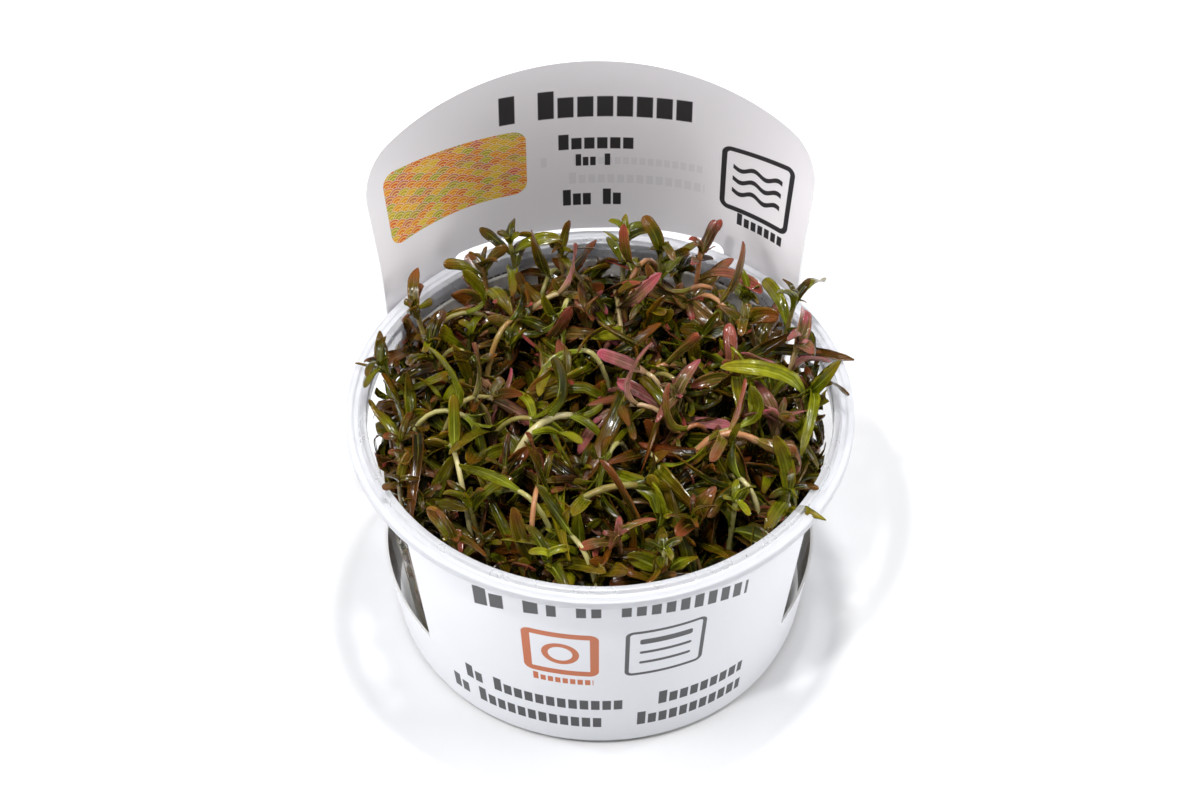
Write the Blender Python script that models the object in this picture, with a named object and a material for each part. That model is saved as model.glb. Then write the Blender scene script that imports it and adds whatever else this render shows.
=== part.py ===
"""Rotala sprigs in a clear culture cup, which stands in a printed card sleeve.

Metres, +Z up. The origin is the middle of the cup's flat base. The card's front panel faces -Y and
its tall arched header stands at +Y.
"""

import math
import random
from dataclasses import dataclass, field

import bmesh
import bpy
import numpy as np
from mathutils import Vector

MM = 0.001
FIT_GAP = 0.3 * MM
UP = Vector((0.0, 0.0, 1.0))

# Cup: a thin tapered wall, a flat floor and a turned-out flange with a small bead inside its lip
CUP_HEIGHT = 56.0 * MM
BASE_RADIUS = 39.8 * MM
BASE_CORNER = 1.2 * MM
NECK_RADIUS = 46.6 * MM
NECK_HEIGHT = 51.6 * MM
WALL_THICKNESS = 0.85 * MM
FLOOR_THICKNESS = 1.0 * MM
FLOOR_CORNER = 0.7 * MM
FLANGE_RADIUS = 50.5 * MM
FLANGE_HEIGHT = 2.2 * MM
LIP_RADIUS = 46.3 * MM
BEAD_WIDTH = 1.3 * MM
ROUND_OFF = 0.4 * MM
CUP_SEGMENTS = 38
WALL_SLOPE = (NECK_RADIUS - BASE_RADIUS) / (NECK_HEIGHT - BASE_CORNER)

# Culture gel
GEL_TOP = 9.0 * MM
GEL_SEGMENTS = 20

# Card sleeve. Angles are in degrees from the middle of its back.
CARD_THICKNESS = 0.5 * MM
CARD_BOTTOM = 1.2 * MM
BAND_TOP = 15.0 * MM
FRONT_TOP = 50.0 * MM
FRONT_EDGE = 123.5
FRONT_CORNER = 3.0 * MM
HEADER_TOP = 103.2 * MM
HEADER_EDGE = 54.8
HEADER_ARCH = 86.0 * MM
HEADER_CORNER = 6.5 * MM
HEADER_BEND = 57.0 * MM
HEADER_FLATNESS = 85.0 * MM
HEADER_REACH = 50.0 * MM
HEADER_WAIST = 36.0 * MM
HEADER_ROWS = (67.0 * MM, 77.0 * MM)
SLOT_MIDDLE = 54.95 * MM
SLOT_HALF_HEIGHT = 2.05 * MM
SLOT_EDGE = 33.0
STAND_OFF_HEIGHTS = (CARD_BOTTOM, 54.0 * MM, 100.0 * MM)
STAND_OFFS = (2.2 * MM, 3.75 * MM, 1.7 * MM)
STAND_OFF_STARTS = 125.0
STAND_OFF_FULL = 60.0
DIP_DEPTH = 1.5 * MM
DIP_SPREAD = 25.0 * MM
SLOT_STEPS = 5
HEADER_STEPS = 3
WINDOW_STEPS = 11
FRONT_STEPS = 9
CORNER_STEPS = 3
HEADER_CORNER_STEPS = 4

# Sprigs: a square stem whose side faces carry the leaf pairs
SPRIG_COUNT = 56
WALL_SPRIG_COUNT = 12
SEED = 71
STEM_WIDTH = 1.3 * MM
STEM_TIP_SHARE = 0.7
NODE_HALF_LENGTH = 0.45 * MM
LEAF_THICKNESS = 0.5 * MM
LEAF_HALF_WIDTH = 1.6 * MM
LEAF_LENGTHS = (14.0 * MM, 14.0 * MM, 12.5 * MM, 9.0 * MM)
LEAF_ANGLES = (76.0, 72.0, 60.0, 38.0)
BOWED_SECTIONS = ((0.32, 1.0), (0.70, 0.8))
PLAIN_SECTIONS = ((0.44, 1.0),)
CROWN_NODES = (0.70, 0.83, 0.95)
LOWER_STEM = (0.0, 0.28, 0.50)
WALL_NODES = (0.34, 0.56, 0.76, 0.94)
BALL_SPACING = 1.0 * MM
BALL_SHARE = 0.9
SPRIG_GAP = 0.4 * MM
OWN_GAP = 0.15 * MM
OWN_REACH = 1.8 * MM
OWN_SHARE = 0.6
STEM_REACH = 1.42
RETRIES = 24
WANDER = 0.35 * MM
BEHIND = 60.5
HEADER_CLEARANCE = 1.5 * MM

# Chance in a leaf's lie, and how a round leaf differs from a long one
ROUND_WIDTH = 1.35
ROUND_LENGTH = 0.62
LENGTH_CHANCE = (0.88, 1.12)
WIDTH_CHANCE = (0.88, 1.10)
ANGLE_CHANCE = 12.0
LIFT_CHANCE = (0.10, -0.45)
SWAY_CHANCE = 0.35
BEND_SHARE = 0.45
AIM_RISE = 0.10
AIM_TRIES = 3
MOST_SHRINK = 0.5
WIDTH_SHRINK = 0.25

# Where the sprigs that fill the cup stand
CROWN_FRONT = -42.0 * MM
CROWN_DEPTH = 80.0 * MM
CROWN_LOW = 51.0 * MM
CROWN_RISE = 13.0 * MM
CROWN_REACH = 41.0 * MM
CROWN_SQUASH = 0.93
CROWN_CHANCE = (-3.0 * MM, 1.5 * MM)
SPOT_TRIES = 40
ROOT_SHARE = 0.75
ROOT_RISE = 20.0 * MM
LEAN = 6.0
LEAN_LENGTH = 22.0
WALL_ROOT = 31.0 * MM
WALL_TIP = (36.0, 38.5)
WALL_DROP = 5.0 * MM
WALL_BULGE = 2.0 * MM
WALL_CHANCE = 8.0

# Colour, roughness and metallic value of each finish
FINISHES = {
    "clear plastic": ((0.86, 0.88, 0.92), 0.12, 0.0),
    "white card": ((0.84, 0.83, 0.88), 0.45, 0.0),
    "culture gel": ((0.75, 0.74, 0.62), 0.20, 0.0),
    "olive": ((0.120, 0.140, 0.020), 0.25, 0.0),
    "brown": ((0.150, 0.075, 0.020), 0.25, 0.0),
    "red": ((0.330, 0.050, 0.030), 0.25, 0.0),
    "pink": ((0.520, 0.150, 0.170), 0.25, 0.0),
    "lime": ((0.300, 0.420, 0.040), 0.25, 0.0),
}

# Sprigs that stand out in the photograph: tone, leaf shape, stem path and where one leaf points.
# Millimetres; the last point of a path is the sprig's tip.
STANDING_SPRIGS = (
    ("olive", "long", ((-32, 5, 9), (-36, 7, 38), (-43, 10, 60)), (-50.8, 10.7, 62)),
    ("brown", "long", ((-27, 18, 9), (-31, 20, 40), (-36, 24, 62)), (-44, 25, 65)),
    ("brown", "long", ((-18, 27, 9), (-20, 30, 42), (-22, 33, 64)), None),
    ("olive", "long", ((-12, 30, 9), (-13, 33, 44), (-16, 35, 66)), None),
    ("brown", "long", ((-5, 31, 9), (-5, 34, 42), (-6, 36, 63)), None),
    ("lime", "round", ((6, 29, 9), (6, 32, 44), (7, 34, 66)), None),
    ("olive", "long", ((11, 28, 9), (13, 30, 46), (14, 32, 67)), None),
    ("red", "long", ((18, 27, 9), (20, 29, 46), (22, 32, 67)), None),
    ("lime", "round", ((25, 22, 9), (28, 24, 40), (31, 26, 60)), None),
    ("olive", "long", ((31, 15, 9), (36, 16, 44), (40, 18, 66)), None),
    ("pink", "long", ((33, 8, 9), (39, 9, 42), (44, 11, 64)), (48.5, 9, 70)),
    ("olive", "long", ((-28, -15, 9), (-33, -18, 32), (-36, -20, 53)), (-41.5, -24.5, 57.6)),
    ("brown", "long", ((-24, -26, 9), (-27, -29, 32), (-29, -30, 53)), (-34.8, -34.8, 58)),
    ("lime", "long", ((-10, -31, 9), (-11, -34, 30), (-12, -36, 52)), (-21.5, -42.5, 57.4)),
    ("lime", "long", ((-26, -18, 9), (-22, -17, 48), (-17, -9, 68), (-5, -5, 59)), None),
    ("red", "long", ((12, -17, 9), (12, -18, 44), (16, -10, 70), (32, -13, 57)), None),
    ("olive", "long", ((-14, -25, 9), (-14, -27, 46), (-9, -24, 61), (6, -21, 56)), None),
    ("lime", "round", ((21, -28, 9), (23, -29, 34), (25, -26, 56)), None),
    ("lime", "round", ((12, -33, 9), (12, -35, 32), (10.5, -36, 54)), None),
    ("pink", "long", ((15, 2, 9), (16, -1, 40), (15, -3, 62)), (2, 2.7, 62)),
    ("pink", "long", ((32, -6, 9), (34, -8, 36), (34.5, -7, 58)), (32, 1, 63)),
    ("red", "long", ((24, 5, 9), (26, 6, 40), (27, 4, 61)), (24, 12, 66)),
)
FILL_TONES = ("olive", "olive", "brown", "olive", "red", "brown")


def wall_radius(z):
    """Outer radius of the cup's wall, carried on upwards past its neck."""
    return BASE_RADIUS + WALL_SLOPE * (z - BASE_CORNER)


def inner_radius(z):
    """Radius inside the cup, no wider than just under the lip."""
    return min(wall_radius(z), NECK_RADIUS) - WALL_THICKNESS


def finish_material(name, finish):
    """A material of its own for one piece."""
    colour, roughness, metallic = FINISHES[finish]
    material = bpy.data.materials.new(name)
    material.use_nodes = True
    shader = material.node_tree.nodes["Principled BSDF"]
    shader.inputs["Base Color"].default_value = (*colour, 1.0)
    shader.inputs["Roughness"].default_value = roughness
    shader.inputs["Metallic"].default_value = metallic
    return material


def add_piece(name, bm, finish, sharp_angle=30.0):
    """Turns a bmesh into a named object with its own material."""
    bmesh.ops.recalc_face_normals(bm, faces=bm.faces)
    mesh = bpy.data.meshes.new(name)
    bm.to_mesh(mesh)
    bm.free()
    mesh.shade_smooth()
    mesh.set_sharp_from_angle(angle=math.radians(sharp_angle))
    mesh.materials.append(finish_material(name, finish))
    piece = bpy.data.objects.new(name, mesh)
    bpy.context.scene.collection.objects.link(piece)
    return piece


def add_face(bm, corners):
    """A face through the corners, less any corner that comes twice."""
    distinct = list(dict.fromkeys(corners))
    if len(distinct) > 2:
        bm.faces.new(distinct)


def turned_body(profile, segments):
    """A closed body turned about Z, from a profile that starts and ends on the axis."""
    bm = bmesh.new()
    rings = []
    for radius, z in profile:
        turns = segments if radius > 0.0 else 1
        angles = [math.tau * turn / segments for turn in range(turns)]
        rings.append([bm.verts.new((radius * math.sin(a), -radius * math.cos(a), z)) for a in angles])
    for low, high in zip(rings, rings[1:]):
        for turn in range(segments):
            following = turn + 1
            lower = (low[turn % len(low)], low[following % len(low)])
            upper = (high[following % len(high)], high[turn % len(high)])
            add_face(bm, lower + upper)
    return bm


def cup_profile():
    """Outline of the cup, from the middle of its underside round the rim to the middle of its floor."""
    under_flange = CUP_HEIGHT - FLANGE_HEIGHT
    flange_top = CUP_HEIGHT - ROUND_OFF
    corner = BASE_CORNER + FLOOR_CORNER
    return [
        (0.0, 0.0),
        (BASE_RADIUS - BASE_CORNER, 0.0),
        (BASE_RADIUS, BASE_CORNER),
        (NECK_RADIUS + ROUND_OFF, under_flange),
        (FLANGE_RADIUS - ROUND_OFF, under_flange),
        (FLANGE_RADIUS, under_flange + ROUND_OFF),
        (FLANGE_RADIUS, flange_top - ROUND_OFF),
        (FLANGE_RADIUS - ROUND_OFF, flange_top),
        (LIP_RADIUS + BEAD_WIDTH, flange_top),
        (LIP_RADIUS + BEAD_WIDTH - ROUND_OFF, CUP_HEIGHT),
        (LIP_RADIUS + ROUND_OFF, CUP_HEIGHT),
        (LIP_RADIUS, flange_top),
        (LIP_RADIUS, NECK_HEIGHT),
        (NECK_RADIUS - WALL_THICKNESS, NECK_HEIGHT - ROUND_OFF),
        (wall_radius(corner) - WALL_THICKNESS, corner),
        (wall_radius(corner) - WALL_THICKNESS - BASE_CORNER, FLOOR_THICKNESS),
        (0.0, FLOOR_THICKNESS),
    ]


def gel_profile():
    """Outline of the gel, clear of the cup all round."""
    bottom = FLOOR_THICKNESS + FIT_GAP
    shoulder = bottom + BASE_CORNER
    shoulder_radius = inner_radius(shoulder) - FIT_GAP
    return [
        (0.0, bottom),
        (shoulder_radius - BASE_CORNER, bottom),
        (shoulder_radius, shoulder),
        (inner_radius(GEL_TOP) - FIT_GAP, GEL_TOP),
        (0.0, GEL_TOP),
    ]


def smooth_step(value):
    """Eases from 0 to 1 as value goes from 0 to 1."""
    share = min(max(value, 0.0), 1.0)
    return share * share * (3.0 - 2.0 * share)


def card_radius(angle, z):
    """Inner radius of the wrapped card: close on the cup in front, standing off it behind."""
    share = smooth_step((STAND_OFF_STARTS - angle) / (STAND_OFF_STARTS - STAND_OFF_FULL))
    stand_off = share * float(np.interp(z, STAND_OFF_HEIGHTS, STAND_OFFS))
    return wall_radius(z) + FIT_GAP + stand_off


def card_dip(angle, z):
    """How far the card is pulled in towards the cup round its slot."""
    if angle >= SLOT_EDGE:
        return 0.0
    across = math.cos(math.radians(90.0) * angle / SLOT_EDGE) ** 2
    return DIP_DEPTH * across * math.exp(-(((z - SLOT_MIDDLE) / DIP_SPREAD) ** 2))


def card_point(angle, z):
    """Point of the card's inner face: round the cup, then flatter in plan towards the header's top."""
    flat = smooth_step((z - HEADER_BEND) / (HEADER_TOP - HEADER_BEND))
    radius = card_radius(angle, z)
    curvature = (1.0 - flat) / radius + flat / HEADER_FLATNESS
    turn = math.radians(angle) * card_radius(angle, min(z, HEADER_BEND)) * curvature
    middle = (1.0 - flat) * radius + flat * HEADER_REACH
    dip = card_dip(angle, z)
    x = math.sin(turn) * (1.0 / curvature - dip)
    y = middle - (1.0 - math.cos(turn)) / curvature - math.cos(turn) * dip
    return x, y


def corner_angles(edge, radius, card_radius_there, inward, steps):
    """Angles across a rounded corner, from where it starts to the panel's edge."""
    spread = math.degrees(radius / card_radius_there) * inward
    turns = [math.radians(90.0) * step / steps for step in range(steps + 1)]
    return [edge - spread * (1.0 - math.sin(turn)) for turn in turns]


def corner_drop(angle, edge, radius, card_radius_there):
    """How far a rounded corner pulls the panel's top edge down."""
    to_edge = math.radians(abs(edge - angle)) * card_radius_there
    into_corner = max(radius - to_edge, 0.0)
    return radius - math.sqrt(max(radius * radius - into_corner * into_corner, 0.0))


def header_top(angle):
    """Height of the header's arched top edge."""
    radius = card_radius(0.0, HEADER_BEND)
    along = math.radians(angle) * radius
    arch_drop = HEADER_ARCH - math.sqrt(HEADER_ARCH * HEADER_ARCH - along * along)
    return HEADER_TOP - arch_drop - corner_drop(angle, HEADER_EDGE, HEADER_CORNER, radius)


def slot_half_height(angle):
    """Half height of the slot that the flange pokes through; its ends are round."""
    slot_radius = card_radius(SLOT_EDGE, SLOT_MIDDLE)
    if angle >= SLOT_EDGE:
        return 0.0
    return SLOT_HALF_HEIGHT - corner_drop(angle, SLOT_EDGE, SLOT_HALF_HEIGHT, slot_radius)


def spaced(start, end, steps):
    """Evenly spaced values after start, up to end."""
    return [start + (end - start) * step / steps for step in range(1, steps + 1)]


def card_columns():
    """Angles of the card's columns over one half, from the middle of the back to the front."""
    slot_radius = card_radius(SLOT_EDGE, SLOT_MIDDLE)
    header_radius = card_radius(0.0, HEADER_BEND)
    slot_end = corner_angles(SLOT_EDGE, SLOT_HALF_HEIGHT, slot_radius, 1.0, CORNER_STEPS)
    header_end = corner_angles(HEADER_EDGE, HEADER_CORNER, header_radius, 1.0, HEADER_CORNER_STEPS)
    front_end = corner_angles(FRONT_EDGE, FRONT_CORNER, NECK_RADIUS, -1.0, CORNER_STEPS)[::-1]
    angles = [0.0] + spaced(0.0, slot_end[0], SLOT_STEPS) + slot_end[1:]
    angles += spaced(SLOT_EDGE, header_end[0], HEADER_STEPS) + header_end[1:]
    angles += spaced(HEADER_EDGE, FRONT_EDGE, WINDOW_STEPS) + front_end[1:]
    return angles + spaced(front_end[-1], 180.0, FRONT_STEPS)


def column_heights(angle):
    """Heights of a column's points. The fourth and fifth bound the slot."""
    heights = [CARD_BOTTOM, BAND_TOP]
    if angle <= HEADER_EDGE:
        half = slot_half_height(angle)
        heights += [HEADER_WAIST, SLOT_MIDDLE - half, SLOT_MIDDLE + half]
        heights += [*HEADER_ROWS, header_top(angle)]
    elif angle >= FRONT_EDGE:
        top = FRONT_TOP - corner_drop(angle, FRONT_EDGE, FRONT_CORNER, NECK_RADIUS)
        heights += [(BAND_TOP + top) / 2.0, top]
    return heights


def card_column(bm, angle, side):
    """The points of one column on the card's inner face."""
    points = {}
    for z in column_heights(angle):
        if z not in points:
            x, y = card_point(angle, z)
            points[z] = bm.verts.new((x * side, y, z))
    return [points[z] for z in column_heights(angle)]


def in_window(first, second):
    """Whether the stretch between two columns is an open window above the band."""
    return HEADER_EDGE <= min(first, second) and max(first, second) <= FRONT_EDGE


def card_sheet():
    """The card's inner face as a sheet, with its windows and its slot left open."""
    bm = bmesh.new()
    half = card_columns()
    stations = [(angle, 1.0) for angle in half] + [(angle, -1.0) for angle in half[-2:0:-1]]
    columns = [card_column(bm, angle, side) for angle, side in stations]
    for index, column in enumerate(columns):
        following = (index + 1) % len(columns)
        rows = min(len(column), len(columns[following]))
        if in_window(stations[index][0], stations[following][0]):
            rows = 2
        for row in range(rows - 1):
            is_slot = row == 3
            if not is_slot:
                ahead = columns[following]
                add_face(bm, (column[row], ahead[row], ahead[row + 1], column[row + 1]))
    return bm


def card_body():
    """The sheet given its thickness, outwards from the cup."""
    bm = card_sheet()
    grown = bmesh.ops.extrude_face_region(bm, geom=bm.faces[:], use_keep_orig=True)
    for vert in [item for item in grown["geom"] if isinstance(item, bmesh.types.BMVert)]:
        outward = Vector((vert.co.x, vert.co.y, 0.0)).normalized()
        vert.co += outward * CARD_THICKNESS
    return bm


def along_curve(points, share):
    """Point of the Bezier curve through its control points, at a share of the way."""
    while len(points) > 1:
        points = [first.lerp(second, share) for first, second in zip(points, points[1:])]
    return points[0]


@dataclass
class Leaf:
    """A blade that grows from one side face of a stem, along a curve from base to tip."""

    base: Vector
    bend: Vector
    tip: Vector
    across: Vector
    half_width: float
    sections: tuple

    def centre(self, share):
        """Point on the midrib at a share of the leaf's length."""
        return along_curve([self.base, self.bend, self.tip], share)

    def upward(self, share):
        """Direction that the upper face looks in, at a share of the length."""
        step = 0.05
        ahead = self.centre(share + step) - self.centre(share - step)
        return ahead.cross(self.across).normalized()

    def balls(self):
        """Balls that hold the blade."""
        points = [self.base] + [self.centre(share) for share, _ in self.sections] + [self.tip]
        widths = [self.half_width * width * BALL_SHARE for _, width in self.sections]
        return ball_chain(points, [STEM_WIDTH * 0.3] + widths + [LEAF_THICKNESS * 0.5])


@dataclass
class StemRing:
    """One square cross-section of a stem, with its two sideways directions."""

    centre: Vector
    first: Vector
    second: Vector
    half: float

    def corners(self):
        """The four corners in order round the stem."""
        signs = ((1, 1), (-1, 1), (-1, -1), (1, -1))
        return [self.centre + (self.first * a + self.second * b) * self.half for a, b in signs]

    def outward(self, side):
        """Outward direction of the face that starts at a corner."""
        return (self.second, -self.first, -self.second, self.first)[side]


@dataclass
class Sprig:
    """A stem's cross-sections from root to tip, and its leaves by node and side."""

    tone: str
    rings: list
    node_rings: list
    leaves: dict = field(default_factory=dict)


@dataclass
class SprigPlan:
    """Where a sprig should stand before it is fitted among the others."""

    tone: str
    shape: str
    path: list
    nodes: tuple
    below: tuple = (0.0,)
    sections: tuple = PLAIN_SECTIONS
    aim: Vector = None


def ball_chain(points, radii):
    """Closely spaced balls along a run of points, as rows of x, y, z and radius."""
    rows = []
    for start, end, first, last in zip(points, points[1:], radii, radii[1:]):
        steps = max(1, math.ceil((end - start).length / BALL_SPACING))
        for step in range(steps + 1):
            share = step / steps
            rows.append((*start.lerp(end, share), first + (last - first) * share))
    return np.array(rows)


def apart(balls, others, gap):
    """Whether two sets of balls keep at least a gap between them."""
    if len(balls) == 0 or len(others) == 0:
        return True
    spacing = np.linalg.norm(balls[:, None, :3] - others[None, :, :3], axis=2)
    return bool(np.all(spacing > balls[:, None, 3] + others[None, :, 3] + gap))


def beyond(balls, point, reach):
    """The balls whose centres are further than reach from a point."""
    return balls[np.linalg.norm(balls[:, :3] - np.array(point), axis=1) > reach]


def clear_of_cup(balls, floor):
    """Whether the balls stay inside the cup or above its rim, above a floor and off the header."""
    x, y, z, radius = balls.T
    reach = np.hypot(x, y) + radius + SPRIG_GAP
    inside = reach < np.minimum(BASE_RADIUS + WALL_SLOPE * (z - BASE_CORNER), NECK_RADIUS) - WALL_THICKNESS
    over_rim = z - radius > CUP_HEIGHT + SPRIG_GAP
    behind = np.degrees(np.arctan2(np.abs(x), y)) < BEHIND
    off_header = ~behind | (reach < NECK_RADIUS + HEADER_CLEARANCE)
    return bool(np.all((inside | over_rim) & off_header & (z > floor)))


def heading(path, share):
    """Direction of a curve at a share of the way, as long as its speed there."""
    step = 0.01
    behind = max(share - step, 0.0)
    ahead = min(share + step, 1.0)
    return (along_curve(path, ahead) - along_curve(path, behind)) / (ahead - behind)


def stem_shares(path, below, nodes):
    """Where a stem's cross-sections lie, a pair at each node, and which of them start a node."""
    shares = list(below)
    node_rings = []
    for node in nodes:
        half_node = NODE_HALF_LENGTH / heading(path, node).length
        node_rings.append(len(shares))
        shares += [node - half_node, node + half_node]
    return shares + [1.0], node_rings


def stem_rings(path, shares, phase):
    """Square cross-sections up a stem, turned as little as the curve allows from one to the next."""
    sideways = Vector((math.cos(phase), math.sin(phase), 0.0))
    rings = []
    for share in shares:
        tangent = heading(path, share).normalized() if share > 0.0 else UP
        sideways = (sideways - tangent * sideways.dot(tangent)).normalized()
        half = STEM_WIDTH * 0.5 * (1.0 + (STEM_TIP_SHARE - 1.0) * share)
        rings.append(StemRing(along_curve(path, share), sideways.copy(), tangent.cross(sideways), half))
    rings[-1].half *= 0.5
    return rings


def make_leaf(ring_low, ring_high, side, plan, size, aim, rng):
    """One leaf from a node's side face, with a little chance in its lie."""
    base = (ring_low.centre + ring_high.centre) * 0.5 + ring_low.outward(side) * ring_low.half
    outward = ring_low.outward(side)
    along = (ring_high.centre - ring_low.centre).normalized()
    across = along.cross(outward).normalized()
    length, angle, shrink = size
    half_width = LEAF_HALF_WIDTH
    if plan.shape == "round":
        half_width *= ROUND_WIDTH
        length *= ROUND_LENGTH
    length *= rng.uniform(*LENGTH_CHANCE) * shrink
    turn = math.radians(angle + rng.uniform(-ANGLE_CHANCE, ANGLE_CHANCE))
    start_way = along * math.cos(turn) + outward * math.sin(turn)
    sag = UP * rng.uniform(*LIFT_CHANCE) + across * rng.uniform(-SWAY_CHANCE, SWAY_CHANCE)
    sag -= outward * min(sag.dot(outward), 0.0)
    end_way = (start_way + sag).normalized()
    bend = base + start_way * length * BEND_SHARE
    tip = bend + end_way * length * (1.0 - BEND_SHARE)
    if aim is not None:
        tip = base.lerp(aim, min(1.0, LEAF_LENGTHS[0] / (aim - base).length))
        bend = base.lerp(tip, BEND_SHARE) + UP * (tip - base).length * AIM_RISE
    half_width *= (1.0 - WIDTH_SHRINK * (1.0 - shrink)) * rng.uniform(*WIDTH_CHANCE)
    midrib = (tip - base).normalized()
    across = (across - midrib * across.dot(midrib)).normalized()
    return Leaf(base, bend, tip, across, half_width, plan.sections)


def fit_leaf(sprig, own_balls, filled, node, side, plan, rng):
    """Tries a leaf until it lies clear, shorter each time, and says which balls hold it."""
    low = sprig.rings[sprig.node_rings[node]]
    high = sprig.rings[sprig.node_rings[node] + 1]
    place = node + len(LEAF_LENGTHS) - len(plan.nodes)
    aim = None
    if plan.aim is not None and node == len(plan.nodes) - 2:
        aim = plan.aim if low.outward(side).dot(plan.aim - low.centre) > 0.0 else None
    for attempt in range(RETRIES):
        shrink = 1.0 - MOST_SHRINK * attempt / RETRIES
        size = (LEAF_LENGTHS[place], LEAF_ANGLES[place], shrink)
        leaf = make_leaf(low, high, side, plan, size, aim if attempt < AIM_TRIES else None, rng)
        balls = leaf.balls()
        free = beyond(balls, leaf.base, OWN_REACH)
        own = beyond(own_balls, leaf.base, OWN_REACH)
        slim = free * np.array((1.0, 1.0, 1.0, OWN_SHARE))
        in_cup = clear_of_cup(balls, GEL_TOP + 2.0 * LEAF_HALF_WIDTH)
        if in_cup and apart(balls, filled, SPRIG_GAP) and apart(slim, own, OWN_GAP):
            return leaf, balls
    return None, None


def grow_sprig(plan, filled, rng):
    """A sprig that follows its plan as nearly as the filled space lets it, and its balls."""
    for attempt in range(RETRIES):
        shift = Vector((rng.uniform(-1.0, 1.0), rng.uniform(-1.0, 1.0), 0.0)) * WANDER * attempt
        path = [plan.path[0] + shift * 0.5] + [point + shift for point in plan.path[1:]]
        phase = rng.uniform(0.0, math.pi)
        if plan.aim is not None:
            towards = plan.aim - path[-1]
            quarter = math.radians(90.0) * ((len(plan.nodes) - 1) % 2)
            phase = math.atan2(towards.y, towards.x) + quarter
        shares, node_rings = stem_shares(path, plan.below, plan.nodes)
        rings = stem_rings(path, shares, phase)
        radii = [ring.half * STEM_REACH for ring in rings]
        stem_balls = ball_chain([ring.centre for ring in rings], radii)
        if clear_of_cup(stem_balls, GEL_TOP) and apart(stem_balls, filled, SPRIG_GAP):
            break
    else:
        return None, None
    sprig = Sprig(plan.tone, rings, node_rings)
    own_balls = stem_balls
    for node in reversed(range(len(plan.nodes))):
        for side in (0, 2) if node % 2 == 0 else (1, 3):
            leaf, balls = fit_leaf(sprig, own_balls, filled, node, side, plan, rng)
            if leaf is not None:
                sprig.leaves[(node, side)] = leaf
                own_balls = np.vstack((own_balls, balls))
    return sprig, own_balls


def crown_height(y):
    """Height of the sprigs' tips: about the rim's in front, and higher towards the header."""
    return CROWN_LOW + CROWN_RISE * (y - CROWN_FRONT) / CROWN_DEPTH


def standing_plans():
    """Plans of the sprigs that stand out."""
    plans = []
    for tone, shape, path, aim in STANDING_SPRIGS:
        points = [Vector(point) * MM for point in path]
        points[0].z = GEL_TOP + FIT_GAP
        target = Vector(aim) * MM if aim else None
        plans.append(SprigPlan(tone, shape, points, CROWN_NODES, LOWER_STEM, BOWED_SECTIONS, target))
    return plans


def wall_plan(index, rng):
    """A sprig near the cup's wall, leafy along its whole height."""
    angle = 360.0 * (index + 0.5) / WALL_SPRIG_COUNT + rng.uniform(-WALL_CHANCE, WALL_CHANCE)
    turn = math.radians(angle)
    way = Vector((math.sin(turn), math.cos(turn), 0.0))
    root = way * WALL_ROOT + UP * (GEL_TOP + FIT_GAP)
    tip = way * rng.uniform(*WALL_TIP) * MM
    tip.z = crown_height(tip.y) - WALL_DROP
    middle = root.lerp(tip, 0.5) + way * WALL_BULGE
    return SprigPlan(FILL_TONES[index % len(FILL_TONES)], "long", [root, middle, tip], WALL_NODES)


def crown_plan(index, tips, rng):
    """A sprig whose tip comes up where the crown is barest."""
    def bareness(spot):
        return min((spot - tip.to_2d()).length for tip in tips)

    spots = []
    for _ in range(SPOT_TRIES):
        reach = CROWN_REACH * math.sqrt(rng.random())
        turn = rng.uniform(0.0, math.tau)
        spots.append(Vector((math.cos(turn), math.sin(turn) * CROWN_SQUASH)) * reach)
    spot = max(spots, key=bareness)
    tip = Vector((spot.x, spot.y, crown_height(spot.y) + rng.uniform(*CROWN_CHANCE)))
    root = Vector((spot.x * ROOT_SHARE, spot.y * ROOT_SHARE, GEL_TOP + FIT_GAP))
    lean = Vector((rng.uniform(-LEAN, LEAN), rng.uniform(-LEAN, LEAN), LEAN_LENGTH)) * MM
    path = [root, root + UP * ROOT_RISE, tip - lean, tip]
    return SprigPlan(FILL_TONES[index % len(FILL_TONES)], "long", path, CROWN_NODES)


def grow_all():
    """All the sprigs: those that stand out, those by the wall, then the rest of the crown."""
    sprigs = []
    filled = np.empty((0, 4))
    tips = []
    index = 0
    standing = standing_plans()
    while len(sprigs) < SPRIG_COUNT:
        rng = random.Random(SEED + index)
        if index < len(standing):
            plan = standing[index]
        elif index < len(standing) + WALL_SPRIG_COUNT:
            plan = wall_plan(index - len(standing), rng)
        else:
            plan = crown_plan(index, tips, rng)
        index += 1
        sprig, balls = grow_sprig(plan, filled, rng)
        if sprig is not None:
            sprigs.append(sprig)
            tips.append(plan.path[-1])
            filled = np.vstack((filled, balls))
    return sprigs


def leaf_section(bm, leaf, share, width):
    """A leaf's cross-section: its left edge, the keel under its midrib, and its right edge."""
    sideways = leaf.across * leaf.half_width * width
    centre = leaf.centre(share)
    keel = centre - leaf.upward(share) * LEAF_THICKNESS
    return [bm.verts.new(corner) for corner in (centre - sideways, keel, centre + sideways)]


def add_leaf(bm, leaf, face_corners):
    """Grows a leaf out of an open face of the stem."""
    low_left, low_right, high_right, high_left = face_corners
    sections = [leaf_section(bm, leaf, share, width) for share, width in leaf.sections]
    left, keel, right = sections[0]
    add_face(bm, (high_left, low_left, keel, left))
    add_face(bm, (low_left, low_right, keel))
    add_face(bm, (low_right, high_right, right, keel))
    add_face(bm, (high_right, high_left, left, right))
    sections.append([bm.verts.new(leaf.tip)] * 3)
    for section, following in zip(sections, sections[1:]):
        for side in range(3):
            ahead = (side + 1) % 3
            add_face(bm, (section[side], section[ahead], following[ahead], following[side]))


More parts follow.
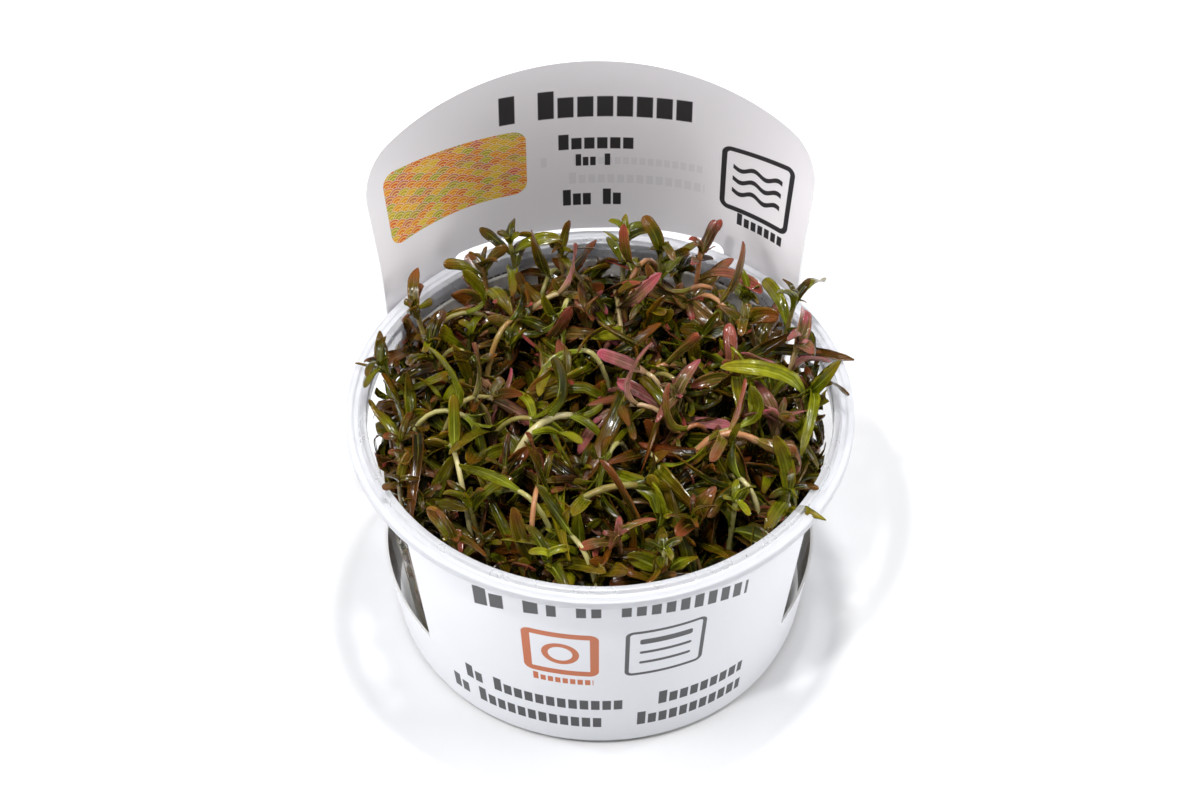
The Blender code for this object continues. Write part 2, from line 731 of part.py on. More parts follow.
def sprig_body(sprig):
    """One closed body: the stem with its leaves grown out of its node faces."""
    bm = bmesh.new()
    rings = [[bm.verts.new(corner) for corner in ring.corners()] for ring in sprig.rings]
    add_face(bm, rings[0])
    add_face(bm, rings[-1])
    starts = {start: node for node, start in enumerate(sprig.node_rings)}
    for index, (low, high) in enumerate(zip(rings, rings[1:])):
        for side in range(4):
            ahead = (side + 1) % 4
            corners = (low[side], low[ahead], high[ahead], high[side])
            leaf = sprig.leaves.get((starts.get(index), side))
            if leaf is None:
                add_face(bm, corners)
            else:
                add_leaf(bm, leaf, corners)
    return bm


def clear_scene():
    """Removes whatever the file holds."""
    for old in list(bpy.data.objects):
        bpy.data.objects.remove(old, do_unlink=True)


def build_rotala():
    """Builds every piece."""
    clear_scene()
    add_piece("cup", turned_body(cup_profile(), CUP_SEGMENTS), "clear plastic")
    add_piece("nutrient_gel", turned_body(gel_profile(), GEL_SEGMENTS), "culture gel")
    add_piece("label_sleeve", card_body(), "white card")
    for number, sprig in enumerate(grow_all(), start=1):
        add_piece(f"sprig_{number:02d}", sprig_body(sprig), sprig.tone, sharp_angle=50.0)


build_rotala()
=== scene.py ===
import json
import logging
import math
import random
from dataclasses import asdict, dataclass, field
from enum import Enum
from functools import cached_property, partial, partialmethod
from typing import Callable, Iterator

import bpy
import numpy as np
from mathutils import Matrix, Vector


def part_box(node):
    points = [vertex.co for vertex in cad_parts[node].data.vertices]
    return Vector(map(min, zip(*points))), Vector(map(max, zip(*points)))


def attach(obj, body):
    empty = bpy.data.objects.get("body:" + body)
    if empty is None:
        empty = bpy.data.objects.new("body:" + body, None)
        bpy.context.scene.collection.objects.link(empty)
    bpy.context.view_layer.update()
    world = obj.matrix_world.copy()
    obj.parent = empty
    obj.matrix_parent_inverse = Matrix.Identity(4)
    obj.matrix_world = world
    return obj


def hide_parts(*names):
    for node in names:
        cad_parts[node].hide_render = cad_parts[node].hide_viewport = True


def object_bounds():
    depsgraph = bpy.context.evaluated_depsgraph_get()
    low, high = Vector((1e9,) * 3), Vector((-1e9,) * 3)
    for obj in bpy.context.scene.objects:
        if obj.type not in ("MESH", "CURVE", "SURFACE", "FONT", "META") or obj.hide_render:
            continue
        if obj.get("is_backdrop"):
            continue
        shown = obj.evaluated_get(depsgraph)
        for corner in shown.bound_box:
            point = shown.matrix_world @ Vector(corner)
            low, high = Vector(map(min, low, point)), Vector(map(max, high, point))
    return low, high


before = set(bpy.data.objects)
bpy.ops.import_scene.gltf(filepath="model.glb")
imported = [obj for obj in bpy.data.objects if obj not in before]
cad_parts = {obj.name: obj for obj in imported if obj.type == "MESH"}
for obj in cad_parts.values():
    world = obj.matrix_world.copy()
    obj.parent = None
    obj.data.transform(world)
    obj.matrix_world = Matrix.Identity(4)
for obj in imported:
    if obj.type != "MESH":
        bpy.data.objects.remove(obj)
cad_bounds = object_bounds()

log = logging.getLogger("rotala")

Material = bpy.types.Material
Node = bpy.types.Node
Piece = bpy.types.Object
Socket = bpy.types.NodeSocket
Tree = bpy.types.NodeTree
Triple = tuple[float, float, float]
Pair = tuple[float, float]
Floats = tuple[float, ...]
Curve = list[Vector]
Faces = list[list[int]]
Array = np.ndarray
Chances = random.Random

MM = 0.001
UP = Vector((0.0, 0.0, 1.0))
BODY = "root"
PRINT_SOFTNESS = 0.05
FRONT_SHIFT = 200.0


class Tone(Enum):
    """Leaf colour of a sprig. The value is the record's slot for it."""

    OLIVE = "olive_leaf"
    BROWN = "brown_leaf"
    RED = "red_leaf"
    PINK = "pink_leaf"
    LIME = "lime_leaf"


class LeafShape(Enum):
    """Outline of a sprig's leaves."""

    LONG = "long"
    ROUND = "round"


class CupZone(Enum):
    """Parts of the cup's surface. The value is the material's place on the mesh."""

    OUTSIDE = 0
    INSIDE = 1
    LIP = 2
    FLANGE = 3
    # The wall before the card, painted paler as painted light of the card behind it.
    BACKED = 4


class CardSide(Enum):
    """Faces of the card. The value is the material's place on the mesh."""

    INNER = 0
    OUTER = 1
    EDGE = 2


class Plant(Enum):
    """Materials of a sprig. The value is the material's place on the mesh."""

    LEAF = 0
    STEM = 1


def smooth_step(value: float) -> float:
    """Eases from 0 to 1 as value goes from 0 to 1."""
    share = min(max(value, 0.0), 1.0)
    return share * share * (3.0 - 2.0 * share)


def along_curve(points: Curve, share: float) -> Vector:
    """Point of the Bezier curve through its control points, at a share of the way."""
    while len(points) > 1:
        points = [first.lerp(second, share) for first, second in zip(points, points[1:])]
    return points[0]


def heading(path: Curve, share: float) -> Vector:
    """Direction of a curve, as long as its speed there.

    Args:
        path: The curve's control points.
        share: How far along it.

    Returns:
        The direction.
    """
    step = 0.01
    behind = max(share - step, 0.0)
    ahead = min(share + step, 1.0)
    return (along_curve(path, ahead) - along_curve(path, behind)) / (ahead - behind)


def frames(path: Curve, shares: list[float], sideways: Vector) -> Iterator[tuple[Vector, Vector]]:
    """Directions across a stem, turned as little as its curve allows.

    Args:
        path: The stem's curve.
        shares: Places along it.
        sideways: The direction to start with.

    Yields:
        Two directions at each place.
    """
    for share in shares:
        tangent = heading(path, share).normalized() if share > 0.0 else UP
        sideways = (sideways - tangent * sideways.dot(tangent)).normalized()
        yield sideways.copy(), tangent.cross(sideways)


def level(turn: float) -> Vector:
    """Level direction at an angle from X."""
    return Vector((math.cos(turn), math.sin(turn), 0.0))


def bearing(turn: float) -> Vector:
    """Level direction at an angle from the header, which stands at Y."""
    return Vector((math.sin(turn), math.cos(turn), 0.0))


@dataclass
class ShaderSketch:
    """Adds nodes to one material's or group's tree and links them in few words."""

    tree: Tree

    def feed(self, socket: Socket, value: object) -> None:
        """Links a socket to another one, or sets its value.

        Args:
            socket: The input to fill.
            value: An output socket, a number, or a tuple.
        """
        if isinstance(value, Socket):
            self.tree.links.new(value, socket)
        else:
            is_plain_colour = socket.type == "RGBA" and len(value) == 3
            socket.default_value = (*value, 1.0) if is_plain_colour else value

    def put(self, kind: str, inputs: dict | None = None, **settings: object) -> Node:
        """Adds a node.

        Args:
            kind: The node's type, without its ShaderNode prefix.
            inputs: Values or sockets by input name or index.
            **settings: Properties of the node itself.

        Returns:
            The new node.
        """
        node = self.tree.nodes.new("ShaderNode" + kind)
        for name, value in settings.items():
            setattr(node, name, value)
        for name, value in (inputs or {}).items():
            self.feed(node.inputs[name], value)
        return node

    def maths(self, operation: str, *values: object, clamp: bool = False) -> Socket:
        """Adds a Math node and returns its result."""
        node = self.put("Math", dict(enumerate(values)), operation=operation, use_clamp=clamp)
        return node.outputs[0]

    plus = partialmethod(maths, "ADD")
    minus = partialmethod(maths, "SUBTRACT")
    times = partialmethod(maths, "MULTIPLY")
    over = partialmethod(maths, "DIVIDE")

    def ease(self, value: object, low: object, high: object) -> Socket:
        """Eases from 0 to 1 as value goes from low to high."""
        places = {"Value": value, "From Min": low, "From Max": high}
        return self.put("MapRange", places, interpolation_type="SMOOTHSTEP").outputs["Result"]

    def blend(self, share: object, first: object, second: object, how: str = "MIX") -> Socket:
        """Mixes two colours.

        Args:
            share: How much of the second colour comes in.
            first: Colour or socket.
            second: Colour or socket.
            how: Blend type of the Mix node.

        Returns:
            The mixed colour.
        """
        settings = {"data_type": "RGBA", "blend_type": how, "clamp_factor": True}
        return self.put("Mix", {0: share, 6: first, 7: second}, **settings).outputs[2]

    def ramp(self, value: object, stops: list[tuple[float, tuple]]) -> Socket:
        """Colour ramp over a value.

        Args:
            value: Socket with the place on the ramp.
            stops: Places and colours in order.

        Returns:
            The ramp's colour.
        """
        node = self.put("ValToRGB", {"Fac": value})
        elements = node.color_ramp.elements
        while len(elements) < len(stops):
            elements.new(0.5)
        for element, (place, colour) in zip(elements, stops):
            element.position = place
            element.color = (*colour, 1.0)
        return node.outputs["Color"]

    def shaded(self, colour: object, shade: Socket) -> Socket:
        """Multiplies a colour by a value."""
        grey = self.put("CombineColor", {0: shade, 1: shade, 2: shade}).outputs[0]
        return self.blend(1.0, colour, grey, "MULTIPLY")

    def effect(self, group: Tree, inputs: dict) -> Node:
        """Places a node group with its own input values."""
        return self.put("Group", inputs, node_tree=group)


class EffectLibrary:
    """Node groups that several finishes share. Each is built once, when first asked for."""

    @staticmethod
    def group(name: str, inputs: dict[str, float | None], *outputs: str) -> tuple:
        """Makes an empty group with its sockets.

        Args:
            name: The group's name.
            inputs: Value of each number that goes in, or nothing for a vector.
            *outputs: Names of the numbers that come out.

        Returns:
            The tree, a sketch on it, its input node's outputs and its output node's inputs.
        """
        tree = bpy.data.node_groups.new(name, "ShaderNodeTree")
        for label, value in inputs.items():
            kind = "NodeSocketVector" if value is None else "NodeSocketFloat"
            socket = tree.interface.new_socket(name=label, in_out="INPUT", socket_type=kind)
            if value is not None:
                socket.default_value = value
        for label in outputs:
            tree.interface.new_socket(name=label, in_out="OUTPUT", socket_type="NodeSocketFloat")
        source = tree.nodes.new("NodeGroupInput")
        target = tree.nodes.new("NodeGroupOutput")
        return tree, ShaderSketch(tree), source.outputs, target.inputs

    @cached_property
    def mottling(self) -> Tree:
        """Soft blotches in object space, as a mask from 0 to 1."""
        inputs = {"Size": 2.0, "Detail": 3.0, "Sharpness": 0.2}
        tree, sketch, given, made = self.group("mottling", inputs, "Mask")
        place = sketch.put("TexCoord").outputs["Object"]
        scale = sketch.over(1.0 / MM, given["Size"])
        noise = sketch.put("TexNoise", {"Vector": place, "Scale": scale, "Detail": given["Detail"]})
        low = sketch.minus(0.5, given["Sharpness"])
        high = sketch.plus(0.5, given["Sharpness"])
        sketch.feed(made["Mask"], sketch.ease(noise.outputs[0], low, high))
        return tree

    @cached_property
    def wet_film(self) -> Tree:
        """A film of water: where it is smooth, and the small waves on it."""
        inputs = {"Dry": 0.42, "Wet": 0.12, "Ripple": 0.9}
        tree, sketch, given, made = self.group("wet_film", inputs, "Roughness", "Height")
        place = sketch.put("TexCoord").outputs["Object"]
        patches = sketch.put("TexNoise", {"Vector": place, "Scale": 330.0, "Detail": 3.0})
        share = sketch.ease(patches.outputs[0], 0.4, 0.6)
        span = sketch.minus(given["Wet"], given["Dry"])
        roughness = sketch.maths("MULTIPLY_ADD", share, span, given["Dry"])
        sketch.feed(made["Roughness"], roughness)
        grain = {"Vector": place, "Scale": 1100.0, "Detail": 4.0, "Roughness": 0.6}
        waves = sketch.put("TexNoise", grain)
        sketch.feed(made["Height"], sketch.times(waves.outputs[0], given["Ripple"]))
        return tree

    @cached_property
    def card_grain(self) -> Tree:
        """Fibres of coated card: a faint tint and a fine height."""
        tree, sketch, given, made = self.group("card_grain", {"Tint": 0.04}, "Shade", "Height")
        place = sketch.put("TexCoord").outputs["Object"]
        cloud = sketch.put("TexNoise", {"Vector": place, "Scale": 60.0, "Detail": 5.0})
        fibre = sketch.put("TexNoise", {"Vector": place, "Scale": 2600.0, "Detail": 3.0})
        both = sketch.maths("MULTIPLY_ADD", fibre.outputs[0], 0.35, cloud.outputs[0])
        shade = sketch.minus(1.0, sketch.times(both, given["Tint"]))
        sketch.feed(made["Shade"], shade)
        sketch.feed(made["Height"], fibre.outputs[0])
        return tree

    @cached_property
    def print_block(self) -> Tree:
        """Mask of a printed block with rounded corners, in millimetres on the card."""
        inputs = {"Place": None, "Middle X": 0.0, "Middle Y": 0.0}
        inputs |= {"Half Width": 5.0, "Half Height": 5.0, "Corner": 1.0}
        tree, sketch, given, made = self.group("print_block", inputs, "Mask")
        place = sketch.put("SeparateXYZ", {0: given["Place"]})
        beyond = []
        for axis, middle, half in ((0, "Middle X", "Half Width"), (1, "Middle Y", "Half Height")):
            away = sketch.maths("ABSOLUTE", sketch.minus(place.outputs[axis], given[middle]))
            past = sketch.minus(away, given[half])
            beyond.append(sketch.plus(past, given["Corner"]))
        outside = [sketch.maths("MAXIMUM", value, 0.0) for value in beyond]
        squares = [sketch.times(value, value) for value in outside]
        reach = sketch.maths("SQRT", sketch.plus(*squares))
        inside = sketch.maths("MINIMUM", sketch.maths("MAXIMUM", *beyond), 0.0)
        distance = sketch.minus(sketch.plus(reach, inside), given["Corner"])
        sketch.feed(made["Mask"], sketch.ease(distance, PRINT_SOFTNESS, -PRINT_SOFTNESS))
        return tree

    @cached_property
    def print_row(self) -> Tree:
        """Mask of a printed row of plain blocks, like type too small to read."""
        inputs = {"Place": None, "Start": 0.0, "End": 10.0, "Base": 0.0, "Height": 4.0}
        inputs |= {"Pitch": 2.0, "Weight": 0.36, "Bow": 0.0, "Seed": 0.0}
        tree, sketch, given, made = self.group("print_row", inputs, "Mask")
        place = sketch.put("SeparateXYZ", {0: given["Place"]})
        along, above = place.outputs[0], place.outputs[1]
        bow = sketch.times(sketch.times(along, along), given["Bow"])
        rise = sketch.minus(sketch.minus(above, bow), given["Base"])
        rise = sketch.over(rise, given["Height"])
        step = sketch.over(sketch.minus(along, given["Start"]), given["Pitch"])
        cell = sketch.maths("FLOOR", step)
        within = sketch.maths("ABSOLUTE", sketch.minus(sketch.maths("FRACT", step), 0.5))
        gaps = []
        for shift in (61.37, 60.37):
            seed = sketch.plus(sketch.plus(cell, given["Seed"]), shift)
            noise = sketch.put("TexWhiteNoise", {"W": seed}, noise_dimensions="1D")
            gaps.append(sketch.maths("LESS_THAN", noise.outputs["Value"], 0.17))
        tall = sketch.maths("MAXIMUM", gaps[1], sketch.maths("LESS_THAN", cell, 0.5))
        top = sketch.maths("MULTIPLY_ADD", tall, 0.26, 0.74)
        outer, inner = (sketch.plus(given["Weight"], shift) for shift in (0.03, -0.03))
        masks = [
            sketch.ease(within, outer, inner),
            sketch.ease(rise, -0.02, 0.02),
            sketch.ease(sketch.minus(rise, top), 0.02, -0.02),
            sketch.minus(1.0, gaps[0]),
            sketch.maths("GREATER_THAN", along, given["Start"]),
            sketch.maths("LESS_THAN", along, given["End"]),
        ]
        mask = masks[0]
        for other in masks[1:]:
            mask = sketch.times(mask, other)
        sketch.feed(made["Mask"], mask)
        return tree


EFFECTS = EffectLibrary()


class Finish:
    """What all finishes share: a material is made from the values that a finish gives its shader."""

    name: str

    def values(self, sketch: ShaderSketch) -> dict[str, object]:
        """Adds the finish's nodes. Each finish has its own.

        Args:
            sketch: The material's tree.

        Returns:
            Value or socket for each input of the shader.
        """
        raise NotImplementedError

    def make(self) -> Material:
        """Builds the material.

        Returns:
            The finished material.
        """
        material = bpy.data.materials.new(self.name)
        material.use_nodes = True
        sketch = ShaderSketch(material.node_tree)
        shader = material.node_tree.nodes["Principled BSDF"]
        for name, value in self.values(sketch).items():
            sketch.feed(shader.inputs[name], value)
        return material


def mottled(sketch: ShaderSketch, size: float, detail: float, sharpness: float) -> Socket:
    """Mask of soft blotches of a size in millimetres."""
    values = {"Size": size, "Detail": detail, "Sharpness": sharpness}
    return sketch.effect(EFFECTS.mottling, values).outputs[0]


def spread_evenly(shades: tuple[Triple, ...]) -> list[tuple[float, Triple]]:
    """Places of a ramp's colours, evenly from 0 to 1."""
    return [(step / (len(shades) - 1), shade) for step, shade in enumerate(shades)]


def growth_values(sketch: ShaderSketch) -> tuple[Socket, ...]:
    """How far along and across a skin each point is, and the skin's two chances."""
    growth = sketch.put("Attribute", attribute_name="growth", attribute_type="GEOMETRY")
    parts = sketch.put("SeparateColor", {0: growth.outputs["Color"]})
    return (*parts.outputs, growth.outputs["Alpha"])


def wet_surface(sketch: ShaderSketch, film: Triple, ridges: tuple, bump: tuple) -> dict[str, object]:
    """Roughness and normal of a wet surface with ridges.

    Args:
        sketch: The material's tree.
        film: How rough it is where dry and where wet, and how high its ripples are.
        ridges: The ridges' wave and height.
        bump: Strength, and depth in millimetres.

    Returns:
        Values for the shader.
    """
    water = sketch.effect(EFFECTS.wet_film, dict(zip(("Dry", "Wet", "Ripple"), film)))
    height = sketch.maths("MULTIPLY_ADD", *ridges, water.outputs["Height"])
    relief = sketch.put("Bump", {"Height": height, "Strength": bump[0], "Distance": bump[1] * MM})
    return {"Roughness": water.outputs["Roughness"], "Normal": relief.outputs[0]}


@dataclass(frozen=True)
class LeafFinish(Finish):
    """A wet leaf: veined, blotched, red towards its tip and margins, and glossy."""

    name: str
    shades: tuple[Triple, ...]
    tip: Triple
    tip_share: float
    midrib: Triple
    foot: Triple

    def values(self, sketch: ShaderSketch) -> dict[str, object]:
        """Colour by the leaf's chance, which also carries painted shade deep under the crown, then
        blotches, reddening, veins, foot and midrib, under water.

        Args:
            sketch: The material's tree.

        Returns:
            Values for the shader.
        """
        along, aside, chance, other = growth_values(sketch)
        # The chance is lower for leaves deep under the crown, so this ramp also lays painted shade there.
        colour = sketch.ramp(chance, spread_evenly(self.shades))
        blotches = mottled(sketch, 2.4, 4.0, 0.16)
        colour = sketch.blend(sketch.times(blotches, 0.5), colour, self.shades[0])
        strength = sketch.maths("MULTIPLY_ADD", other, 0.75, 0.25)
        tips = sketch.ease(along, 0.58, 1.0)
        margins = sketch.times(sketch.ease(aside, 0.62, 1.0), 0.8)
        reddening = sketch.times(sketch.maths("MAXIMUM", tips, margins), strength)
        colour = sketch.blend(sketch.times(reddening, self.tip_share), colour, self.tip)
        veins = sketch.maths("SINE", sketch.times(aside, 19.0))
        streak = sketch.maths("MULTIPLY_ADD", veins, 0.15, 0.95)
        colour = sketch.shaded(colour, streak)
        foot = sketch.times(sketch.ease(along, 0.42, 0.05), 0.55)
        colour = sketch.blend(foot, colour, self.foot)
        rib = sketch.times(sketch.ease(aside, 0.16, 0.03), sketch.ease(along, 1.0, 0.2))
        colour = sketch.blend(sketch.times(rib, 0.6), colour, self.midrib)
        return {
            **wet_surface(sketch, (0.24, 0.07, 0.7), (veins, 0.22), (0.55, 0.18)),
            "Base Color": colour,
            "IOR": 1.38,
            "Coat Weight": 0.3,
            "Coat Roughness": 0.04,
            "Subsurface Weight": 0.12,
            "Subsurface Radius": (0.8, 1.0, 0.3),
            "Subsurface Scale": 1.2 * MM,
        }


@dataclass(frozen=True)
class StemFinish(Finish):
    """A pale juicy stem with fine ribs, from straw and pale green to orange-brown."""

    name: str
    shades: tuple[Triple, ...]

    def values(self, sketch: ShaderSketch) -> dict[str, object]:
        """Colour by the stem's chance and blotches, with ribs, under water.

        Args:
            sketch: The material's tree.

        Returns:
            Values for the shader.
        """
        _, aside, chance, _ = growth_values(sketch)
        blotches = mottled(sketch, 3.0, 3.0, 0.25)
        spread = sketch.maths("MULTIPLY_ADD", blotches, 0.35, chance)
        place = sketch.minus(spread, 0.17, clamp=True)
        ribs = sketch.maths("SINE", sketch.times(aside, 50.0))
        return {
            **wet_surface(sketch, (0.38, 0.16, 0.5), (ribs, 0.12), (0.3, 0.12)),
            "Base Color": sketch.ramp(place, spread_evenly(self.shades)),
            "Coat Weight": 0.4,
            "Coat Roughness": 0.08,
            "Subsurface Weight": 0.25,
            "Subsurface Radius": (1.0, 0.8, 0.4),
            "Subsurface Scale": 1.5 * MM,
        }


@dataclass(frozen=True)
class ClearFinish(Finish):
    """Clear moulded plastic, faintly milky, with soft handling marks."""

    name: str
    colour: Triple
    transmission: float
    roughness: Pair
    ior: float = 1.49
    alpha: float = 1.0

    def values(self, sketch: ShaderSketch) -> dict[str, object]:
        """Plain see-through plastic with smudges and a faint ripple.

        Args:
            sketch: The material's tree.

        Returns:
            Values for the shader.
        """
        smudges = mottled(sketch, 9.0, 5.0, 0.25)
        clean, smudged = self.roughness
        ripple = mottled(sketch, 6.0, 1.0, 0.5)
        bump = {"Height": ripple, "Strength": 0.1, "Distance": 0.1 * MM}
        return {
            "Base Color": self.colour,
            "Transmission Weight": self.transmission,
            "IOR": self.ior,
            "Alpha": self.alpha,
            "Roughness": sketch.maths("MULTIPLY_ADD", smudges, smudged - clean, clean),
            "Normal": sketch.put("Bump", bump).outputs[0],
        }


CLEAR = (0.92, 0.91, 0.9)
CUP_FINISHES = {
    CupZone.OUTSIDE: ClearFinish("clear moulded plastic", CLEAR, 0.97, (0.1, 0.22), alpha=0.13),
    CupZone.INSIDE: ClearFinish("inside of clear plastic", CLEAR, 0.97, (0.1, 0.22), alpha=0.04),
    # The inner lip is a darker grey-blue than the flange: painted shade.
    CupZone.LIP: ClearFinish("shaded moulded plastic", (0.6, 0.605, 0.63), 0.6, (0.22, 0.34)),
    CupZone.FLANGE: ClearFinish("hazy moulded plastic", (0.78, 0.79, 0.83), 0.45, (0.34, 0.46)),
    # Paler, warmer and less clear than the wall round it: painted light of the lit card seen through the
    # wall.
    CupZone.BACKED: ClearFinish("clear plastic before the card", (0.8, 0.76, 0.7), 0.66, (0.16, 0.3)),
}
GEL_FINISH = ClearFinish("cloudy culture gel", (0.8, 0.78, 0.62), 0.7, (0.1, 0.2), ior=1.34)


@dataclass(frozen=True)
class PrintRow:
    """A printed row of plain blocks on the card. Millimetres, from start to end of the row."""

    start: float
    end: float
    base: float
    height: float
    pitch: float
    weight: float = 0.38
    bow: float = 0.0


@dataclass(frozen=True)
class PrintBlock:
    """A printed block with rounded corners, whole or as an outline. Millimetres."""

    middle: Pair
    half: Pair
    corner: float
    stroke: float | None = None


INK = (0.025, 0.024, 0.028)
GREY_INK = (0.012, 0.012, 0.016)
ORANGE_INK = (0.46, 0.09, 0.0)
GHOST_INK = (0.3, 0.3, 0.38)

HEADER_ROWS = (
    PrintRow(-18.3, 21.8, 87.4, 8.0, 4.0, 0.41),
    PrintRow(-6.1, 9.8, 78.2, 4.3, 2.65, 0.4),
    PrintRow(-2.5, 5.1, 73.6, 3.2, 1.5, 0.38),
    PrintRow(-7.4, 9.5, 63.2, 4.1, 2.1, 0.4),
    PrintRow(30.2, 43.6, 63.9, 2.9, 1.65, 0.36),
    PrintRow(-43.0, -17.0, 47.0, 2.7, 1.7, 0.36),
    PrintRow(-43.0, -20.0, 42.4, 2.7, 1.7, 0.36),
    PrintRow(17.0, 43.0, 47.0, 2.7, 1.7, 0.36),
    PrintRow(20.0, 43.0, 42.4, 2.7, 1.7, 0.36),
)
HEADER_FRAME = PrintBlock((36.1, 75.0), (8.2, 8.1), 2.0, 1.15)
HEADER_WAVES = PrintBlock((36.1, 75.0), (5.6, 4.6), 0.6)
WAVES_BASE = 73.5
SCALE_PATCH = PrintBlock((-28.5, 76.4), (16.0, 8.6), 3.0)
SCALE_COLOURS = [
    (0.0, (0.62, 0.1, 0.03)),
    (0.35, (0.7, 0.22, 0.02)),
    (0.6, (0.66, 0.42, 0.03)),
    (0.85, (0.3, 0.3, 0.03)),
    (1.0, (0.6, 0.08, 0.1)),
]
GHOST_ROWS = (
    PrintRow(-9.8, 24.4, 73.9, 2.6, 1.7, 0.36),
    PrintRow(-10.0, 24.6, 68.9, 3.0, 2.0, 0.36),
)
FRONT_ROWS = (
    PrintRow(-27.0, -13.2, 47.3, 6.3, 3.4, 0.42, -0.0066),
    PrintRow(-12.6, 27.0, 46.9, 6.2, 2.75, 0.33, -0.0066),
    PrintRow(-35.0, 30.0, 13.0, 4.6, 2.35, 0.38, -0.0006),
    PrintRow(-37.0, 30.4, 6.4, 4.7, 2.35, 0.38, -0.0006),
)
FRONT_ORANGE = (
    PrintBlock((-10.0, 33.0), (7.5, 7.5), 1.9, 1.7),
    PrintBlock((-10.0, 33.0), (3.7, 3.7), 3.7, 1.3),
)
FRONT_ORANGE_ROWS = (PrintRow(-16.0, -3.6, 22.3, 2.5, 1.5, 0.36),)
FRONT_SYMBOL = (
    PrintBlock((10.5, 33.2), (8.0, 7.9), 1.6, 0.85),
    PrintBlock((10.5, 37.2), (5.2, 0.9), 0.5),
    PrintBlock((10.5, 33.4), (5.2, 0.45), 0.4),
    PrintBlock((10.5, 29.8), (5.2, 0.45), 0.4),
)
BACK_ROWS = (
    PrintRow(-22.0, 22.0, 84.0, 5.6, 3.0, 0.4),
    PrintRow(-24.5, 9.9, 73.9, 2.6, 1.7, 0.4),
    PrintRow(-24.5, 10.0, 68.9, 3.0, 2.0, 0.42),
    PrintRow(-34.0, 34.0, 42.0, 2.6, 1.6),
    PrintRow(-34.0, 30.0, 37.0, 2.6, 1.6),
    PrintRow(-34.0, 33.0, 32.0, 2.6, 1.6),
    PrintRow(-34.0, 12.0, 27.0, 2.6, 1.6),
)


